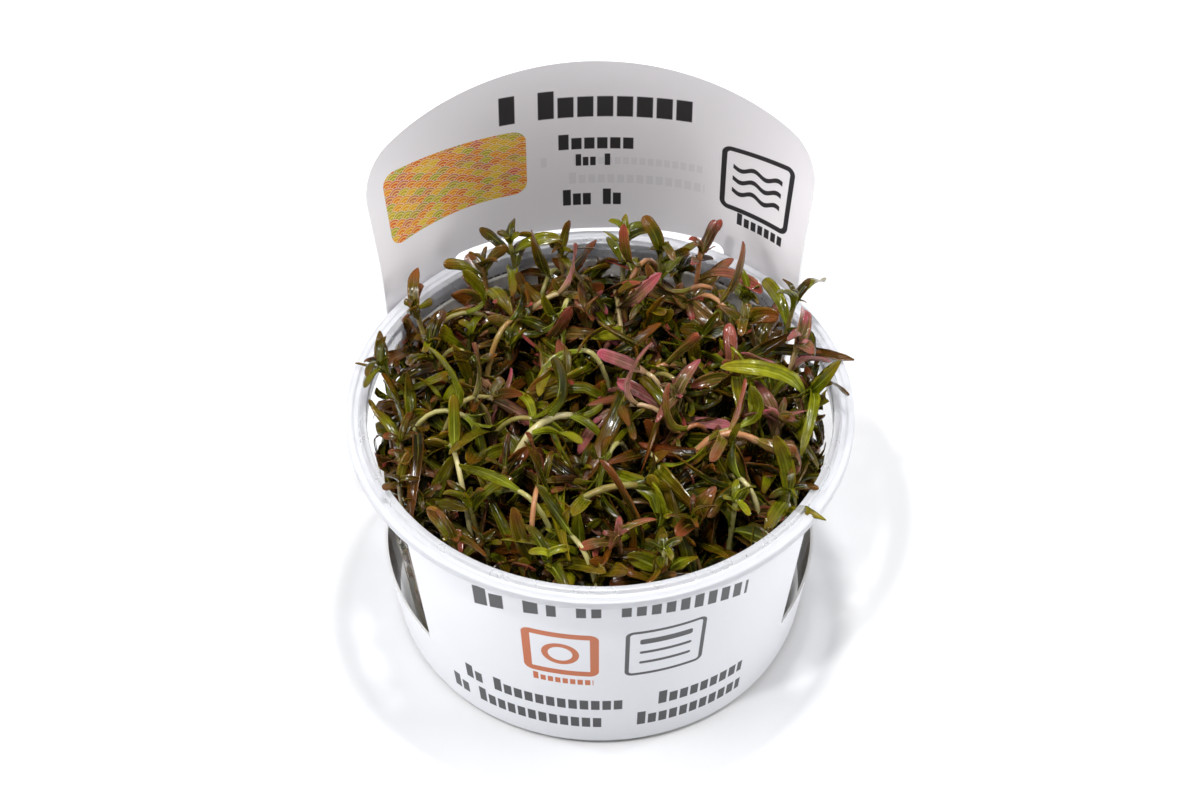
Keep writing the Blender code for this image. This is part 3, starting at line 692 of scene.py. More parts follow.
@dataclass
class CardPrint:
    """Prints on one card: its tree, the places on it in millimetres, and its colour so far."""

    sketch: ShaderSketch
    place: Socket
    colour: Socket

    def ink(self, ink: Triple, masks: list[Socket]) -> None:
        """Lays one ink on the card.

        Args:
            ink: The ink's colour.
            masks: Where it goes.
        """
        for mask in masks:
            self.colour = self.sketch.blend(mask, self.colour, ink)

    def rows(self, rows: tuple[PrintRow, ...], seed: float, step: float) -> list[Socket]:
        """Masks of printed rows.

        Args:
            rows: The rows.
            seed: Number that picks the first row's pattern.
            step: How much it grows from row to row.

        Returns:
            A mask for each row.
        """
        masks = []
        for number, row in enumerate(rows):
            values = {name.title(): value for name, value in asdict(row).items()}
            values |= {"Place": self.place, "Seed": seed + step * number}
            masks.append(self.sketch.effect(EFFECTS.print_row, values).outputs["Mask"])
        return masks

    def solid(self, block: PrintBlock, inset: float = 0.0) -> Socket:
        """Mask of a whole block.

        Args:
            block: The block.
            inset: How much smaller it is all round.

        Returns:
            The mask.
        """
        values = {
            "Place": self.place,
            "Middle X": block.middle[0],
            "Middle Y": block.middle[1],
            "Half Width": block.half[0] - inset,
            "Half Height": block.half[1] - inset,
            "Corner": max(block.corner - inset, PRINT_SOFTNESS),
        }
        return self.sketch.effect(EFFECTS.print_block, values).outputs["Mask"]

    def blocks(self, *blocks: PrintBlock) -> list[Socket]:
        """Masks of blocks, or of their outlines where they have a stroke.

        Args:
            *blocks: The blocks.

        Returns:
            A mask for each block.
        """
        masks = []
        for block in blocks:
            outer = self.solid(block)
            if block.stroke is not None:
                outer = self.sketch.minus(outer, self.solid(block, block.stroke))
            masks.append(outer)
        return masks

    def waves(self) -> Socket:
        """The plain wavy lines inside the header's frame.

        Returns:
            Their mask.
        """
        sketch = self.sketch
        axes = sketch.put("SeparateXYZ", {0: self.place})
        swing = sketch.maths("SINE", sketch.times(axes.outputs[0], 1.12))
        height = sketch.maths("MULTIPLY_ADD", swing, -0.55, axes.outputs[1])
        height = sketch.minus(height, WAVES_BASE)
        turn = sketch.maths("FRACT", sketch.over(height, 3.0))
        line = sketch.ease(sketch.maths("ABSOLUTE", sketch.minus(turn, 0.5)), 0.2, 0.17)
        return sketch.times(line, self.solid(HEADER_WAVES))

    def scales(self) -> Socket:
        """The traditional fish-scale pattern in warm colours.

        Returns:
            The pattern's colour.
        """
        sketch = self.sketch
        radius, rise = 1.9, 0.95
        axes = sketch.put("SeparateXYZ", {0: self.place})
        row = sketch.maths("FLOOR", sketch.over(axes.outputs[1], rise))
        best, tint = None, None
        for back in (-1.0, 0.0, 1.0):
            this_row = sketch.minus(row, back)
            odd = sketch.times(sketch.maths("PINGPONG", this_row, 1.0), 0.5)
            step = sketch.plus(sketch.over(axes.outputs[0], 2.0 * radius), odd)
            column = sketch.maths("FLOOR", step)
            across = sketch.times(sketch.minus(sketch.maths("FRACT", step), 0.5), 2.0 * radius)
            above = sketch.minus(axes.outputs[1], sketch.times(this_row, rise))
            square = sketch.maths("MULTIPLY_ADD", across, across, sketch.times(above, above))
            ring = sketch.over(sketch.maths("SQRT", square), radius)
            pair = sketch.put("CombineXYZ", {0: column, 1: this_row}).outputs[0]
            chance = sketch.put("TexWhiteNoise", {"Vector": pair}, noise_dimensions="2D").outputs["Value"]
            if best is None:
                best, tint = ring, chance
                continue
            covers = sketch.maths("LESS_THAN", ring, 1.0)
            best, tint = self.choose(covers, best, ring), self.choose(covers, tint, chance)
        colour = sketch.ramp(tint, SCALE_COLOURS)
        turn = sketch.maths("FRACT", sketch.times(best, 2.6))
        pale = sketch.times(sketch.ease(turn, 0.55, 0.75), 0.75)
        colour = sketch.blend(pale, colour, (0.8, 0.62, 0.16))
        edge = sketch.ease(best, 0.9, 0.98)
        return sketch.blend(sketch.times(edge, 0.8), colour, (0.76, 0.7, 0.66))

    def choose(self, share: Socket, first: Socket, second: Socket) -> Socket:
        """First value where share is 0, second where it is 1."""
        return self.sketch.maths("MULTIPLY_ADD", share, self.sketch.minus(second, first), first)

    def print_inner(self) -> None:
        """Prints the header, with the back's print showing through."""
        ghosts = self.rows(GHOST_ROWS, 40.0, 1.0)
        self.ink(GHOST_INK, [self.sketch.times(ghost, 0.16) for ghost in ghosts])
        self.ink(INK, [*self.rows(HEADER_ROWS, 0.0, 7.0), *self.blocks(HEADER_FRAME), self.waves()])
        self.colour = self.sketch.blend(self.solid(SCALE_PATCH), self.colour, self.scales())

    def print_outer(self) -> None:
        """Prints the front panel, and rows on the back."""
        self.ink(GREY_INK, self.rows(BACK_ROWS, 0.0, 11.0))
        shift = {0: self.place, 1: (FRONT_SHIFT, 0.0, 0.0)}
        self.place = self.sketch.put("VectorMath", shift, operation="SUBTRACT").outputs[0]
        self.ink(GREY_INK, [*self.rows(FRONT_ROWS, 23.0, 1.0), *self.blocks(*FRONT_SYMBOL)])
        self.ink(ORANGE_INK, [*self.blocks(*FRONT_ORANGE), *self.rows(FRONT_ORANGE_ROWS, 3.0, 1.0)])


@dataclass(frozen=True)
class CardFinish(Finish):
    """Coated card of one side, with its generic print."""

    name: str
    colour: Triple
    roughness: float
    side: CardSide

    def values(self, sketch: ShaderSketch) -> dict[str, object]:
        """Card with a faint grain, printed where its side is.

        Args:
            sketch: The material's tree.

        Returns:
            Values for the shader.
        """
        grain = sketch.effect(EFFECTS.card_grain, {"Tint": 0.05})
        colour = sketch.shaded(self.colour, grain.outputs["Shade"])
        card = CardPrint(sketch, sketch.put("UVMap", uv_map="card").outputs[0], colour)
        if self.side is CardSide.INNER:
            card.print_inner()
        elif self.side is CardSide.OUTER:
            card.print_outer()
        bump = {"Height": grain.outputs["Height"], "Strength": 0.12, "Distance": 0.03 * MM}
        return {
            "Base Color": card.colour,
            "Roughness": self.roughness,
            "Normal": sketch.put("Bump", bump).outputs[0],
            "Coat Weight": 0.12,
            "Coat Roughness": 0.25,
        }


CARD_FINISHES = (
    # Both faces are the same white card: the inner face is painted lighter and the outer darker, as
    # painted light and shade that match how brightly the header and the front panel are lit.
    CardFinish("inner face of the card", (0.8, 0.78, 0.81), 0.45, CardSide.INNER),
    CardFinish("outer face of the card", (0.73, 0.74, 0.78), 0.32, CardSide.OUTER),
    CardFinish("cut edge of the card", (0.84, 0.84, 0.86), 0.6, CardSide.EDGE),
)


def ring_faces(rings: list[range]) -> Faces:
    """Faces between rings of vertices that follow one another.

    Args:
        rings: Each ring's vertices. A ring of one vertex is a point.

    Returns:
        The faces.
    """
    faces = []
    for low, high in zip(rings, rings[1:]):
        for turn in range(max(len(low), len(high))):
            corners = [low[turn % len(low)], low[(turn + 1) % len(low)]]
            corners += [high[(turn + 1) % len(high)], high[turn % len(high)]]
            faces.append(list(dict.fromkeys(corners)))
    return faces


@dataclass
class MeshStore:
    """Closed skins collected for one object, with the growth values that its finishes read."""

    vertices: list[Array] = field(default_factory=list)
    growth: list[Array] = field(default_factory=list)
    faces: Faces = field(default_factory=list)
    slots: list[int] = field(default_factory=list)
    count: int = 0

    def add_skin(self, points: Array, tip: Array, growth: tuple[Array, Array, Pair], slot: Plant) -> None:
        """Adds a closed skin over a run of rings that ends in one point.

        Args:
            points: Points by ring and place round it, running anticlockwise seen from the tip.
            tip: The end point.
            growth: How far along each ring is, how far aside each place round it, and two chances.
            slot: The material's place.
        """
        stations, around, _ = points.shape
        along, aside, chances = growth
        values = np.zeros((stations, around, 4))
        values[:, :, 0] = along[:, None]
        values[:, :, 1] = aside
        values[:, :, 2:] = chances
        self.vertices.append(np.vstack((points.reshape(-1, 3), tip[None])))
        self.growth.append(np.vstack((values.reshape(-1, 4), [(1.0, 0.0, *chances)])))
        end = self.count + stations * around
        rings = [range(low, low + around) for low in range(self.count, end, around)]
        faces = [list(reversed(rings[0])), *ring_faces([*rings, range(end, end + 1)])]
        self.faces += faces
        self.slots += [slot.value] * len(faces)
        self.count = end + 1

    def make(self, name: str, materials: list[Material]) -> Piece:
        """Makes the object.

        Args:
            name: The object's name.
            materials: Its materials in slot order.

        Returns:
            The new object, linked to the scene.
        """
        mesh = bpy.data.meshes.new(name)
        mesh.from_pydata(np.vstack(self.vertices).tolist(), [], self.faces)
        attribute = mesh.attributes.new("growth", "FLOAT_COLOR", "POINT")
        attribute.data.foreach_set("color", np.vstack(self.growth).astype(np.float32).ravel())
        mesh.polygons.foreach_set("material_index", self.slots)
        return link_piece(name, mesh, materials)


def link_piece(name: str, mesh: bpy.types.Mesh, materials: list[Material]) -> Piece:
    """Links a mesh to the scene as a smooth piece.

    Args:
        name: The object's name.
        mesh: Its mesh.
        materials: Its materials in slot order.

    Returns:
        The new object.
    """
    for material in materials:
        mesh.materials.append(material)
    mesh.shade_smooth()
    mesh.update()
    piece = bpy.data.objects.new(name, mesh)
    bpy.context.scene.collection.objects.link(piece)
    return piece


def hand_over(piece: Piece, slot: str, *nodes: str) -> None:
    """Hides the nodes that a piece replaces, hangs it on its body and logs which slot it takes.

    Args:
        piece: The finished piece.
        slot: The record's material slot.
        *nodes: CAD nodes that the piece stands for.
    """
    if nodes:
        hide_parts(*nodes)
    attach(piece, BODY)
    log.info("%s: %d faces, slot %s", piece.name, len(piece.data.polygons), slot)


@dataclass
class TurnedForm:
    """A closed body turned about Z from a profile with eased corners. Millimetres."""

    segments: int

    def eased(self, corners: list[Triple], steps: int = 4) -> list[Pair]:
        """Rounds a profile's corners.

        Args:
            corners: Radius, height and easing of each corner.
            steps: Stretches in each eased corner.

        Returns:
            The profile's points.
        """
        points = []
        for index, (radius, z, ease) in enumerate(corners):
            if ease == 0.0:
                points.append((radius, z))
                continue
            here = Vector((radius, z))
            before = (Vector(corners[index - 1][:2]) - here).normalized() * ease
            after = (Vector(corners[index + 1][:2]) - here).normalized() * ease
            for step in range(steps + 1):
                point = along_curve([here + before, here, here + after], step / steps)
                points.append((point.x, point.y))
        return points

    def make(self, name: str, corners: list[Triple], materials: list[Material]) -> Piece:
        """Turns the profile into an object.

        Args:
            name: The object's name.
            corners: Radius, height and easing of each corner, from underneath to above.
            materials: Its materials in slot order.

        Returns:
            The new object.
        """
        vertices, rings = [], []
        for radius, z in self.eased(corners):
            turns = self.segments if radius > 0.0 else 1
            rings.append(range(len(vertices), len(vertices) + turns))
            for turn in range(turns):
                angle = math.tau * turn / self.segments
                vertices.append((radius * math.cos(angle) * MM, radius * math.sin(angle) * MM, z * MM))
        mesh = bpy.data.meshes.new(name)
        mesh.from_pydata(vertices, [], ring_faces(rings))
        piece = link_piece(name, mesh, materials)
        piece.data.set_sharp_from_angle(angle=math.radians(50.0))
        return piece


@dataclass
class Cup:
    """The clear cup: thin tapered wall, stacking steps and a grooved flange. Millimetres."""

    height: float = 56.0
    base_radius: float = 39.8
    base_corner: float = 1.2
    neck_radius: float = 46.6
    neck_height: float = 51.6
    wall: float = 0.85
    floor: float = 1.0
    flange_radius: float = 50.5
    flange_height: float = 2.2
    lip_radius: float = 46.3
    ridge_height: float = 46.8
    haze_height: float = 53.7
    haze_radius: float = 48.0
    # Where the wall before the card is painted paler, as painted light of the card behind it.
    backed_angle: float = 50.0
    backed_height: float = 28.0
    segments: int = 240

    @property
    def slope(self) -> float:
        """How much wider the wall gets for each millimetre up."""
        return (self.neck_radius - self.base_radius) / (self.neck_height - self.base_corner)

    def wall_radius(self, z: float) -> float:
        """Outer radius of the wall at a height."""
        return self.base_radius + self.slope * (z - self.base_corner)

    def corners(self) -> list[Triple]:
        """The profile's corners.

        Returns:
            Radius, height and easing of each, from underneath round the rim to the floor.
        """
        top, rim, lip = self.height, self.flange_radius, self.lip_radius
        under = top - self.flange_height
        inner = self.neck_radius - self.wall
        ridge_low = self.wall_radius(self.ridge_height) - self.wall
        floor_low = self.wall_radius(self.floor + 0.9) - self.wall
        return [
            (0.0, 0.0, 0.0),
            (self.base_radius - self.base_corner, 0.0, 0.3),
            (self.base_radius, self.base_corner, 0.3),
            (self.neck_radius + 0.3, under, 0.3),
            (rim, under, 0.35),
            (rim, top - 0.35, 0.4),
            (rim - 1.3, top - 0.35, 0.3),
            (rim - 1.6, top - 0.75, 0.15),
            (lip + 1.7, top - 0.75, 0.15),
            (lip + 1.3, top, 0.3),
            (lip, top, 0.4),
            (lip, self.neck_height, 0.3),
            (inner, self.neck_height - 0.4, 0.2),
            (ridge_low + 0.12, self.ridge_height + 0.3, 0.15),
            (ridge_low - 0.18, self.ridge_height, 0.12),
            (floor_low, self.floor + 0.9, 0.5),
            (floor_low - 1.1, self.floor, 0.5),
            (0.0, self.floor, 0.0),
        ]

    def zone(self, x: float, y: float, z: float) -> CupZone:
        """Which part of the surface a spot is on.

        Args:
            x: The spot's place.
            y: Its place towards the header.
            z: Its height.

        Returns:
            Its zone. Where the card stands behind it, the plastic is painted paler and warmer, as painted
            light of the lit card seen through it; it is hazy at the rim, and its inner lip is painted
            darker as painted shade.
        """
        out = math.hypot(x, y)
        if z > self.haze_height:
            return CupZone.FLANGE if out > self.haze_radius else CupZone.LIP
        if z <= self.floor * 0.5 or out >= self.wall_radius(z) - self.wall * 0.5:
            return CupZone.OUTSIDE
        is_backed = z > self.backed_height and math.degrees(math.atan2(abs(x), y)) < self.backed_angle
        return CupZone.BACKED if is_backed else CupZone.INSIDE

    def build(self) -> None:
        """Builds and hands over the cup."""
        finishes = [CUP_FINISHES[zone].make() for zone in CupZone]
        piece = TurnedForm(self.segments).make("clear_cup", self.corners(), finishes)
        for face in piece.data.polygons:
            face.material_index = self.zone(*(value / MM for value in face.center)).value
        hand_over(piece, "clear_plastic", "cup")


@dataclass
class CultureGel:
    """The disc of clear culture gel in the bottom of the cup. Millimetres."""

    cup: Cup
    top: float = 9.0
    gap: float = 0.3
    meniscus: float = 0.5
    segments: int = 120

    def build(self) -> None:
        """Builds and hands over the gel, which creeps up a little at the wall."""
        bottom = self.cup.floor + self.gap
        shoulder = bottom + self.cup.base_corner
        low_radius = self.cup.wall_radius(shoulder) - self.cup.wall - self.gap
        top_radius = self.cup.wall_radius(self.top) - self.cup.wall - self.gap
        corners = [
            (0.0, bottom, 0.0),
            (low_radius - self.cup.base_corner, bottom, 0.4),
            (low_radius, shoulder, 0.4),
            (top_radius, self.top, 0.15),
            (top_radius - 1.5, self.top - self.meniscus, 0.8),
            (0.0, self.top - self.meniscus, 0.0),
        ]
        piece = TurnedForm(self.segments).make("culture_gel", corners, [GEL_FINISH.make()])
        hand_over(piece, "culture_gel", "nutrient_gel")


@dataclass
class CardSleeve:
    """The glued card sleeve: a low band, a front panel and a tall arched header. Millimetres, degrees.

    Angles run from the middle of the back.
    """

    cup: Cup
    thickness: float = 0.5
    gap: float = 0.3
    bottom: float = 1.2
    band_top: float = 15.0
    front_top: float = 50.0
    front_edge: float = 123.5
    front_corner: float = 3.0
    header_top: float = 103.2
    header_edge: float = 54.8
    header_arch: float = 86.0
    header_corner: float = 6.5
    header_bend: float = 57.0
    header_flatness: float = 85.0
    header_reach: float = 50.0
    slot_middle: float = 54.95
    slot_half: float = 2.05
    slot_edge: float = 33.0
    stand_off_heights: Triple = (1.2, 54.0, 100.0)
    stand_offs: Triple = (2.2, 3.75, 1.7)
    stand_off_starts: float = 125.0
    stand_off_full: float = 60.0
    dip_depth: float = 1.5
    dip_spread: float = 25.0
    column_step: float = 1.5
    corner_steps: int = 6
    band_rows: int = 5
    waist_rows: int = 14
    header_rows: int = 16
    front_rows: int = 12
    front_scale: float = 44.0

    def radius(self, angle: float, z: float) -> float:
        """Inner radius of the wrapped card at an angle and a height."""
        span = self.stand_off_starts - self.stand_off_full
        share = smooth_step((self.stand_off_starts - angle) / span)
        stand_off = share * float(np.interp(z, self.stand_off_heights, self.stand_offs))
        return self.cup.wall_radius(z) + self.gap + stand_off

    def dip(self, angle: float, z: float) -> float:
        """How far the card is pulled in round its slot."""
        if angle >= self.slot_edge:
            return 0.0
        across = math.cos(math.radians(90.0) * angle / self.slot_edge) ** 2
        return self.dip_depth * across * math.exp(-(((z - self.slot_middle) / self.dip_spread) ** 2))

    def point(self, angle: float, z: float) -> tuple[Vector, Vector]:
        """A point of the inner face.

        Args:
            angle: Degrees from the middle of the back, 0 to 180.
            z: Height.

        Returns:
            The point at the right-hand side, and the outward direction there.
        """
        flat = smooth_step((z - self.header_bend) / (self.header_top - self.header_bend))
        radius = self.radius(angle, z)
        curvature = (1.0 - flat) / radius + flat / self.header_flatness
        turn = math.radians(angle) * self.radius(angle, min(z, self.header_bend)) * curvature
        middle = (1.0 - flat) * radius + flat * self.header_reach
        dip = self.dip(angle, z)
        x = math.sin(turn) * (1.0 / curvature - dip)
        y = middle - (1.0 - math.cos(turn)) / curvature - math.cos(turn) * dip
        return Vector((x, y, z)), bearing(turn)

    @staticmethod
    def drop(angle: float, edge: float, corner: float, radius: float) -> float:
        """How far a rounded corner pulls a top edge down."""
        into = max(corner - math.radians(abs(edge - angle)) * radius, 0.0)
        return corner - math.sqrt(max(corner * corner - into * into, 0.0))

    def top(self, angle: float) -> float:
        """Height of the header's arched top edge."""
        radius = self.radius(0.0, self.header_bend)
        along = math.radians(angle) * radius
        arch = self.header_arch - math.sqrt(self.header_arch**2 - along * along)
        return self.header_top - arch - self.drop(angle, self.header_edge, self.header_corner, radius)

    def slot_half_height(self, angle: float) -> float:
        """Half height of the slot at an angle; its ends are round."""
        if angle >= self.slot_edge:
            return 0.0
        radius = self.radius(self.slot_edge, self.slot_middle)
        return self.slot_half - self.drop(angle, self.slot_edge, self.slot_half, radius)

    def angles(self) -> list[float]:
        """Angles of the columns over one half, closer together in rounded corners.

        Returns:
            The angles in order from the back's middle to the front's.
        """
        marks = (0.0, self.slot_edge, self.header_edge, self.front_edge, 180.0)
        chosen = {0.0, 180.0}
        for start, end in zip(marks, marks[1:]):
            steps = max(1, round((end - start) / self.column_step))
            chosen |= {round(start + (end - start) * step / steps, 4) for step in range(steps + 1)}
        corners = (
            (self.slot_edge, self.slot_half, -1.0),
            (self.header_edge, self.header_corner, -1.0),
            (self.front_edge, self.front_corner, 1.0),
        )
        for edge, corner, way in corners:
            spread = math.degrees(corner / self.cup.neck_radius)
            for step in range(self.corner_steps + 1):
                share = 1.0 - math.sin(math.radians(90.0) * step / self.corner_steps)
                chosen.add(round(edge + way * spread * share, 4))
        return sorted(chosen)

    def heights(self, angle: float) -> list[float]:
        """Heights of a column's points: band, waist, slot and header, or band and front panel.

        Args:
            angle: The column's angle.

        Returns:
            Heights in order. Columns of one stretch have the same count.
        """
        def filled(low: float, high: float, steps: int) -> list[float]:
            return [low + (high - low) * step / steps for step in range(1, steps + 1)]

        rows = [self.bottom] + filled(self.bottom, self.band_top, self.band_rows)
        if angle <= self.header_edge:
            half = self.slot_half_height(angle)
            rows += filled(self.band_top, self.slot_middle - half, self.waist_rows)
            rows += [self.slot_middle + half]
            rows += filled(self.slot_middle + half, self.top(angle), self.header_rows)
        elif angle >= self.front_edge:
            drop = self.drop(angle, self.front_edge, self.front_corner, self.cup.neck_radius)
            rows += filled(self.band_top, self.front_top - drop, self.front_rows)
        return rows

    def build(self) -> None:
        """Builds and hands over the sleeve."""
        half = self.angles()
        stations = [(angle, 1.0) for angle in half] + [(angle, -1.0) for angle in half[-2:0:-1]]
        vertices, spots, columns = [], [], []
        for angle, side in stations:
            seen, column = {}, []
            for z in self.heights(angle):
                if z not in seen:
                    point, outward = self.point(angle, z)
                    seen[z] = len(vertices)
                    for face in (0.0, self.thickness):
                        spot = point + outward * face
                        vertices.append(Vector((spot.x * side, spot.y, spot.z)) * MM)
                        spots.append((angle, side, z))
                column.append(seen[z])
            columns.append(column)
        faces, sides = self.sheet_faces(stations, columns)
        mesh = bpy.data.meshes.new("card_sleeve")
        mesh.from_pydata(vertices, [], faces)
        mesh.polygons.foreach_set("material_index", sides)
        layer = mesh.uv_layers.new(name="card")
        layer.data.foreach_set("uv", self.print_places(faces, spots))
        piece = link_piece("card_sleeve", mesh, [finish.make() for finish in CARD_FINISHES])
        piece.data.set_sharp_from_angle(angle=math.radians(45.0))
        hand_over(piece, "white_card", "label_sleeve")

    def print_places(self, faces: Faces, spots: list[Triple]) -> list[float]:
        """Places on the print, in millimetres from the back's middle, or shifted in front.

        Args:
            faces: The sheet's faces.
            spots: Angle, side and height of each vertex.

        Returns:
            Place along and up for each corner of each face.
        """
        back_scale = self.radius(0.0, self.header_bend)
        places = []
        for face in faces:
            in_front = max(spots[corner][0] for corner in face) > 90.0
            for corner in face:
                angle, side, z = spots[corner]
                if in_front:
                    places += [FRONT_SHIFT + math.radians(180.0 - angle) * side * self.front_scale, z]
                else:
                    places += [math.radians(angle) * side * back_scale, z]
        return places

    def sheet_faces(self, stations: list, columns: list) -> tuple[Faces, list[int]]:
        """Faces of both sides and the edge between them.

        Args:
            stations: Angle and side of each column.
            columns: Inner vertex of each column's points; the outer one follows it.

        Returns:
            The faces and their material places.
        """
        faces, sides, borders = [], [], {}
        slot_row = self.band_rows + self.waist_rows
        for index, column in enumerate(columns):
            following = (index + 1) % len(columns)
            ahead = columns[following]
            rows = min(len(column), len(ahead))
            angles = (stations[index][0], stations[following][0])
            if self.header_edge <= min(angles) and max(angles) <= self.front_edge:
                rows = self.band_rows + 1
            for row in range(rows - 1):
                corners = (column[row], column[row + 1], ahead[row + 1], ahead[row])
                corners = list(dict.fromkeys(corners))
                is_slot = row == slot_row and rows > slot_row + 1
                if len(corners) < 3 or is_slot:
                    continue
                faces += [corners, [corner + 1 for corner in reversed(corners)]]
                sides += [CardSide.INNER.value, CardSide.OUTER.value]
                for first, second in zip(corners, corners[1:] + corners[:1]):
                    if not borders.pop((second, first), False):
                        borders[(first, second)] = True
        for first, second in borders:
            faces.append([second, first, first + 1, second + 1])
            sides.append(CardSide.EDGE.value)
        return faces, sides


@dataclass
class Leaf:
    """A blade that grows from a stem along a curve from base to tip."""

    base: Vector
    bend: Vector
    tip: Vector
    across: Vector
    half_width: float
    sections: tuple[Pair, ...]

    def centre(self, share: float) -> Vector:
        """Point on the midrib at a share of the leaf's length."""
        return along_curve([self.base, self.bend, self.tip], share)

    def balls(self, grower: "Grower") -> Array:
        """Balls that hold the blade."""
        points = [self.base] + [self.centre(share) for share, _ in self.sections] + [self.tip]
        widths = [self.half_width * width * grower.ball_share for _, width in self.sections]
        return grower.ball_chain(points, [grower.stem_width * 0.3, *widths, grower.leaf_thickness * 0.5])


@dataclass
class StemRing:
    """One cross-section of a stem, with its two sideways directions."""

    centre: Vector
    first: Vector
    second: Vector
    half: float

    def outward(self, side: int) -> Vector:
        """Outward direction of one of the four sides."""
        return (self.second, -self.first, -self.second, self.first)[side]


@dataclass
class SprigPlan:
    """Where a sprig should stand before it is fitted among the others."""

    tone: Tone
    shape: LeafShape
    path: Curve
    nodes: Floats
    below: Floats = (0.0,)
    sections: tuple[Pair, ...] = ((0.44, 1.0),)
    aim: Vector | None = None


def long_sprig(tones: tuple[Tone, ...], index: int, path: Curve, nodes: tuple) -> SprigPlan:
    """Plans a sprig with long leaves, in the tone whose turn it is."""
    return SprigPlan(tones[index % len(tones)], LeafShape.LONG, path, nodes)


@dataclass
class Sprig:
    """A grown sprig: its plan, its stem's curve and cross-sections, and its leaves."""

    plan: SprigPlan
    path: Curve
    rings: list[StemRing]
    node_rings: list[int]
    leaves: dict[tuple[int, int], Leaf] = field(default_factory=dict)


STANDING_SPRIGS = (
    ("olive", "long", ((-32, 5, 9), (-36, 7, 38), (-43, 10, 60)), (-50.8, 10.7, 62)),
    ("brown", "long", ((-27, 18, 9), (-31, 20, 40), (-36, 24, 62)), (-44, 25, 65)),
    ("brown", "long", ((-18, 27, 9), (-20, 30, 42), (-22, 33, 64)), None),
    ("olive", "long", ((-12, 30, 9), (-13, 33, 44), (-16, 35, 66)), None),
    ("brown", "long", ((-5, 31, 9), (-5, 34, 42), (-6, 36, 63)), None),
    ("lime", "round", ((6, 29, 9), (6, 32, 44), (7, 34, 66)), None),
    ("olive", "long", ((11, 28, 9), (13, 30, 46), (14, 32, 67)), None),
    ("red", "long", ((18, 27, 9), (20, 29, 46), (22, 32, 67)), None),
    ("lime", "round", ((25, 22, 9), (28, 24, 40), (31, 26, 60)), None),
    ("olive", "long", ((31, 15, 9), (36, 16, 44), (40, 18, 66)), None),
    ("pink", "long", ((33, 8, 9), (39, 9, 42), (44, 11, 64)), (48.5, 9, 70)),
    ("olive", "long", ((-28, -15, 9), (-33, -18, 32), (-36, -20, 53)), (-41.5, -24.5, 57.6)),
    ("brown", "long", ((-24, -26, 9), (-27, -29, 32), (-29, -30, 53)), (-34.8, -34.8, 58)),
    ("lime", "long", ((-10, -31, 9), (-11, -34, 30), (-12, -36, 52)), (-21.5, -42.5, 57.4)),
    ("lime", "long", ((-26, -18, 9), (-22, -17, 48), (-17, -9, 68), (-5, -5, 59)), None),
    ("red", "long", ((12, -17, 9), (12, -18, 44), (16, -10, 70), (32, -13, 57)), None),
    ("olive", "long", ((-14, -25, 9), (-14, -27, 46), (-9, -24, 61), (6, -21, 56)), None),
    ("lime", "round", ((21, -28, 9), (23, -29, 34), (25, -26, 56)), None),
    ("lime", "round", ((12, -33, 9), (12, -35, 32), (10.5, -36, 54)), None),
    ("pink", "long", ((15, 2, 9), (16, -1, 40), (15, -3, 62)), (2, 2.7, 62)),
    ("pink", "long", ((32, -6, 9), (34, -8, 36), (34.5, -7, 58)), (32, 1, 63)),
    ("red", "long", ((24, 5, 9), (26, 6, 40), (27, 4, 61)), (24, 12, 66)),
)
FILL_TONES = (Tone.OLIVE, Tone.OLIVE, Tone.BROWN, Tone.OLIVE, Tone.RED, Tone.BROWN)
SHOOT_TONES = (Tone.LIME, Tone.OLIVE, Tone.RED, Tone.LIME, Tone.PINK)
UNDERGROWTH_TONES = (
    *(Tone.OLIVE, Tone.BROWN, Tone.OLIVE, Tone.LIME, Tone.OLIVE),
    *(Tone.BROWN, Tone.LIME, Tone.OLIVE, Tone.OLIVE, Tone.RED),
)


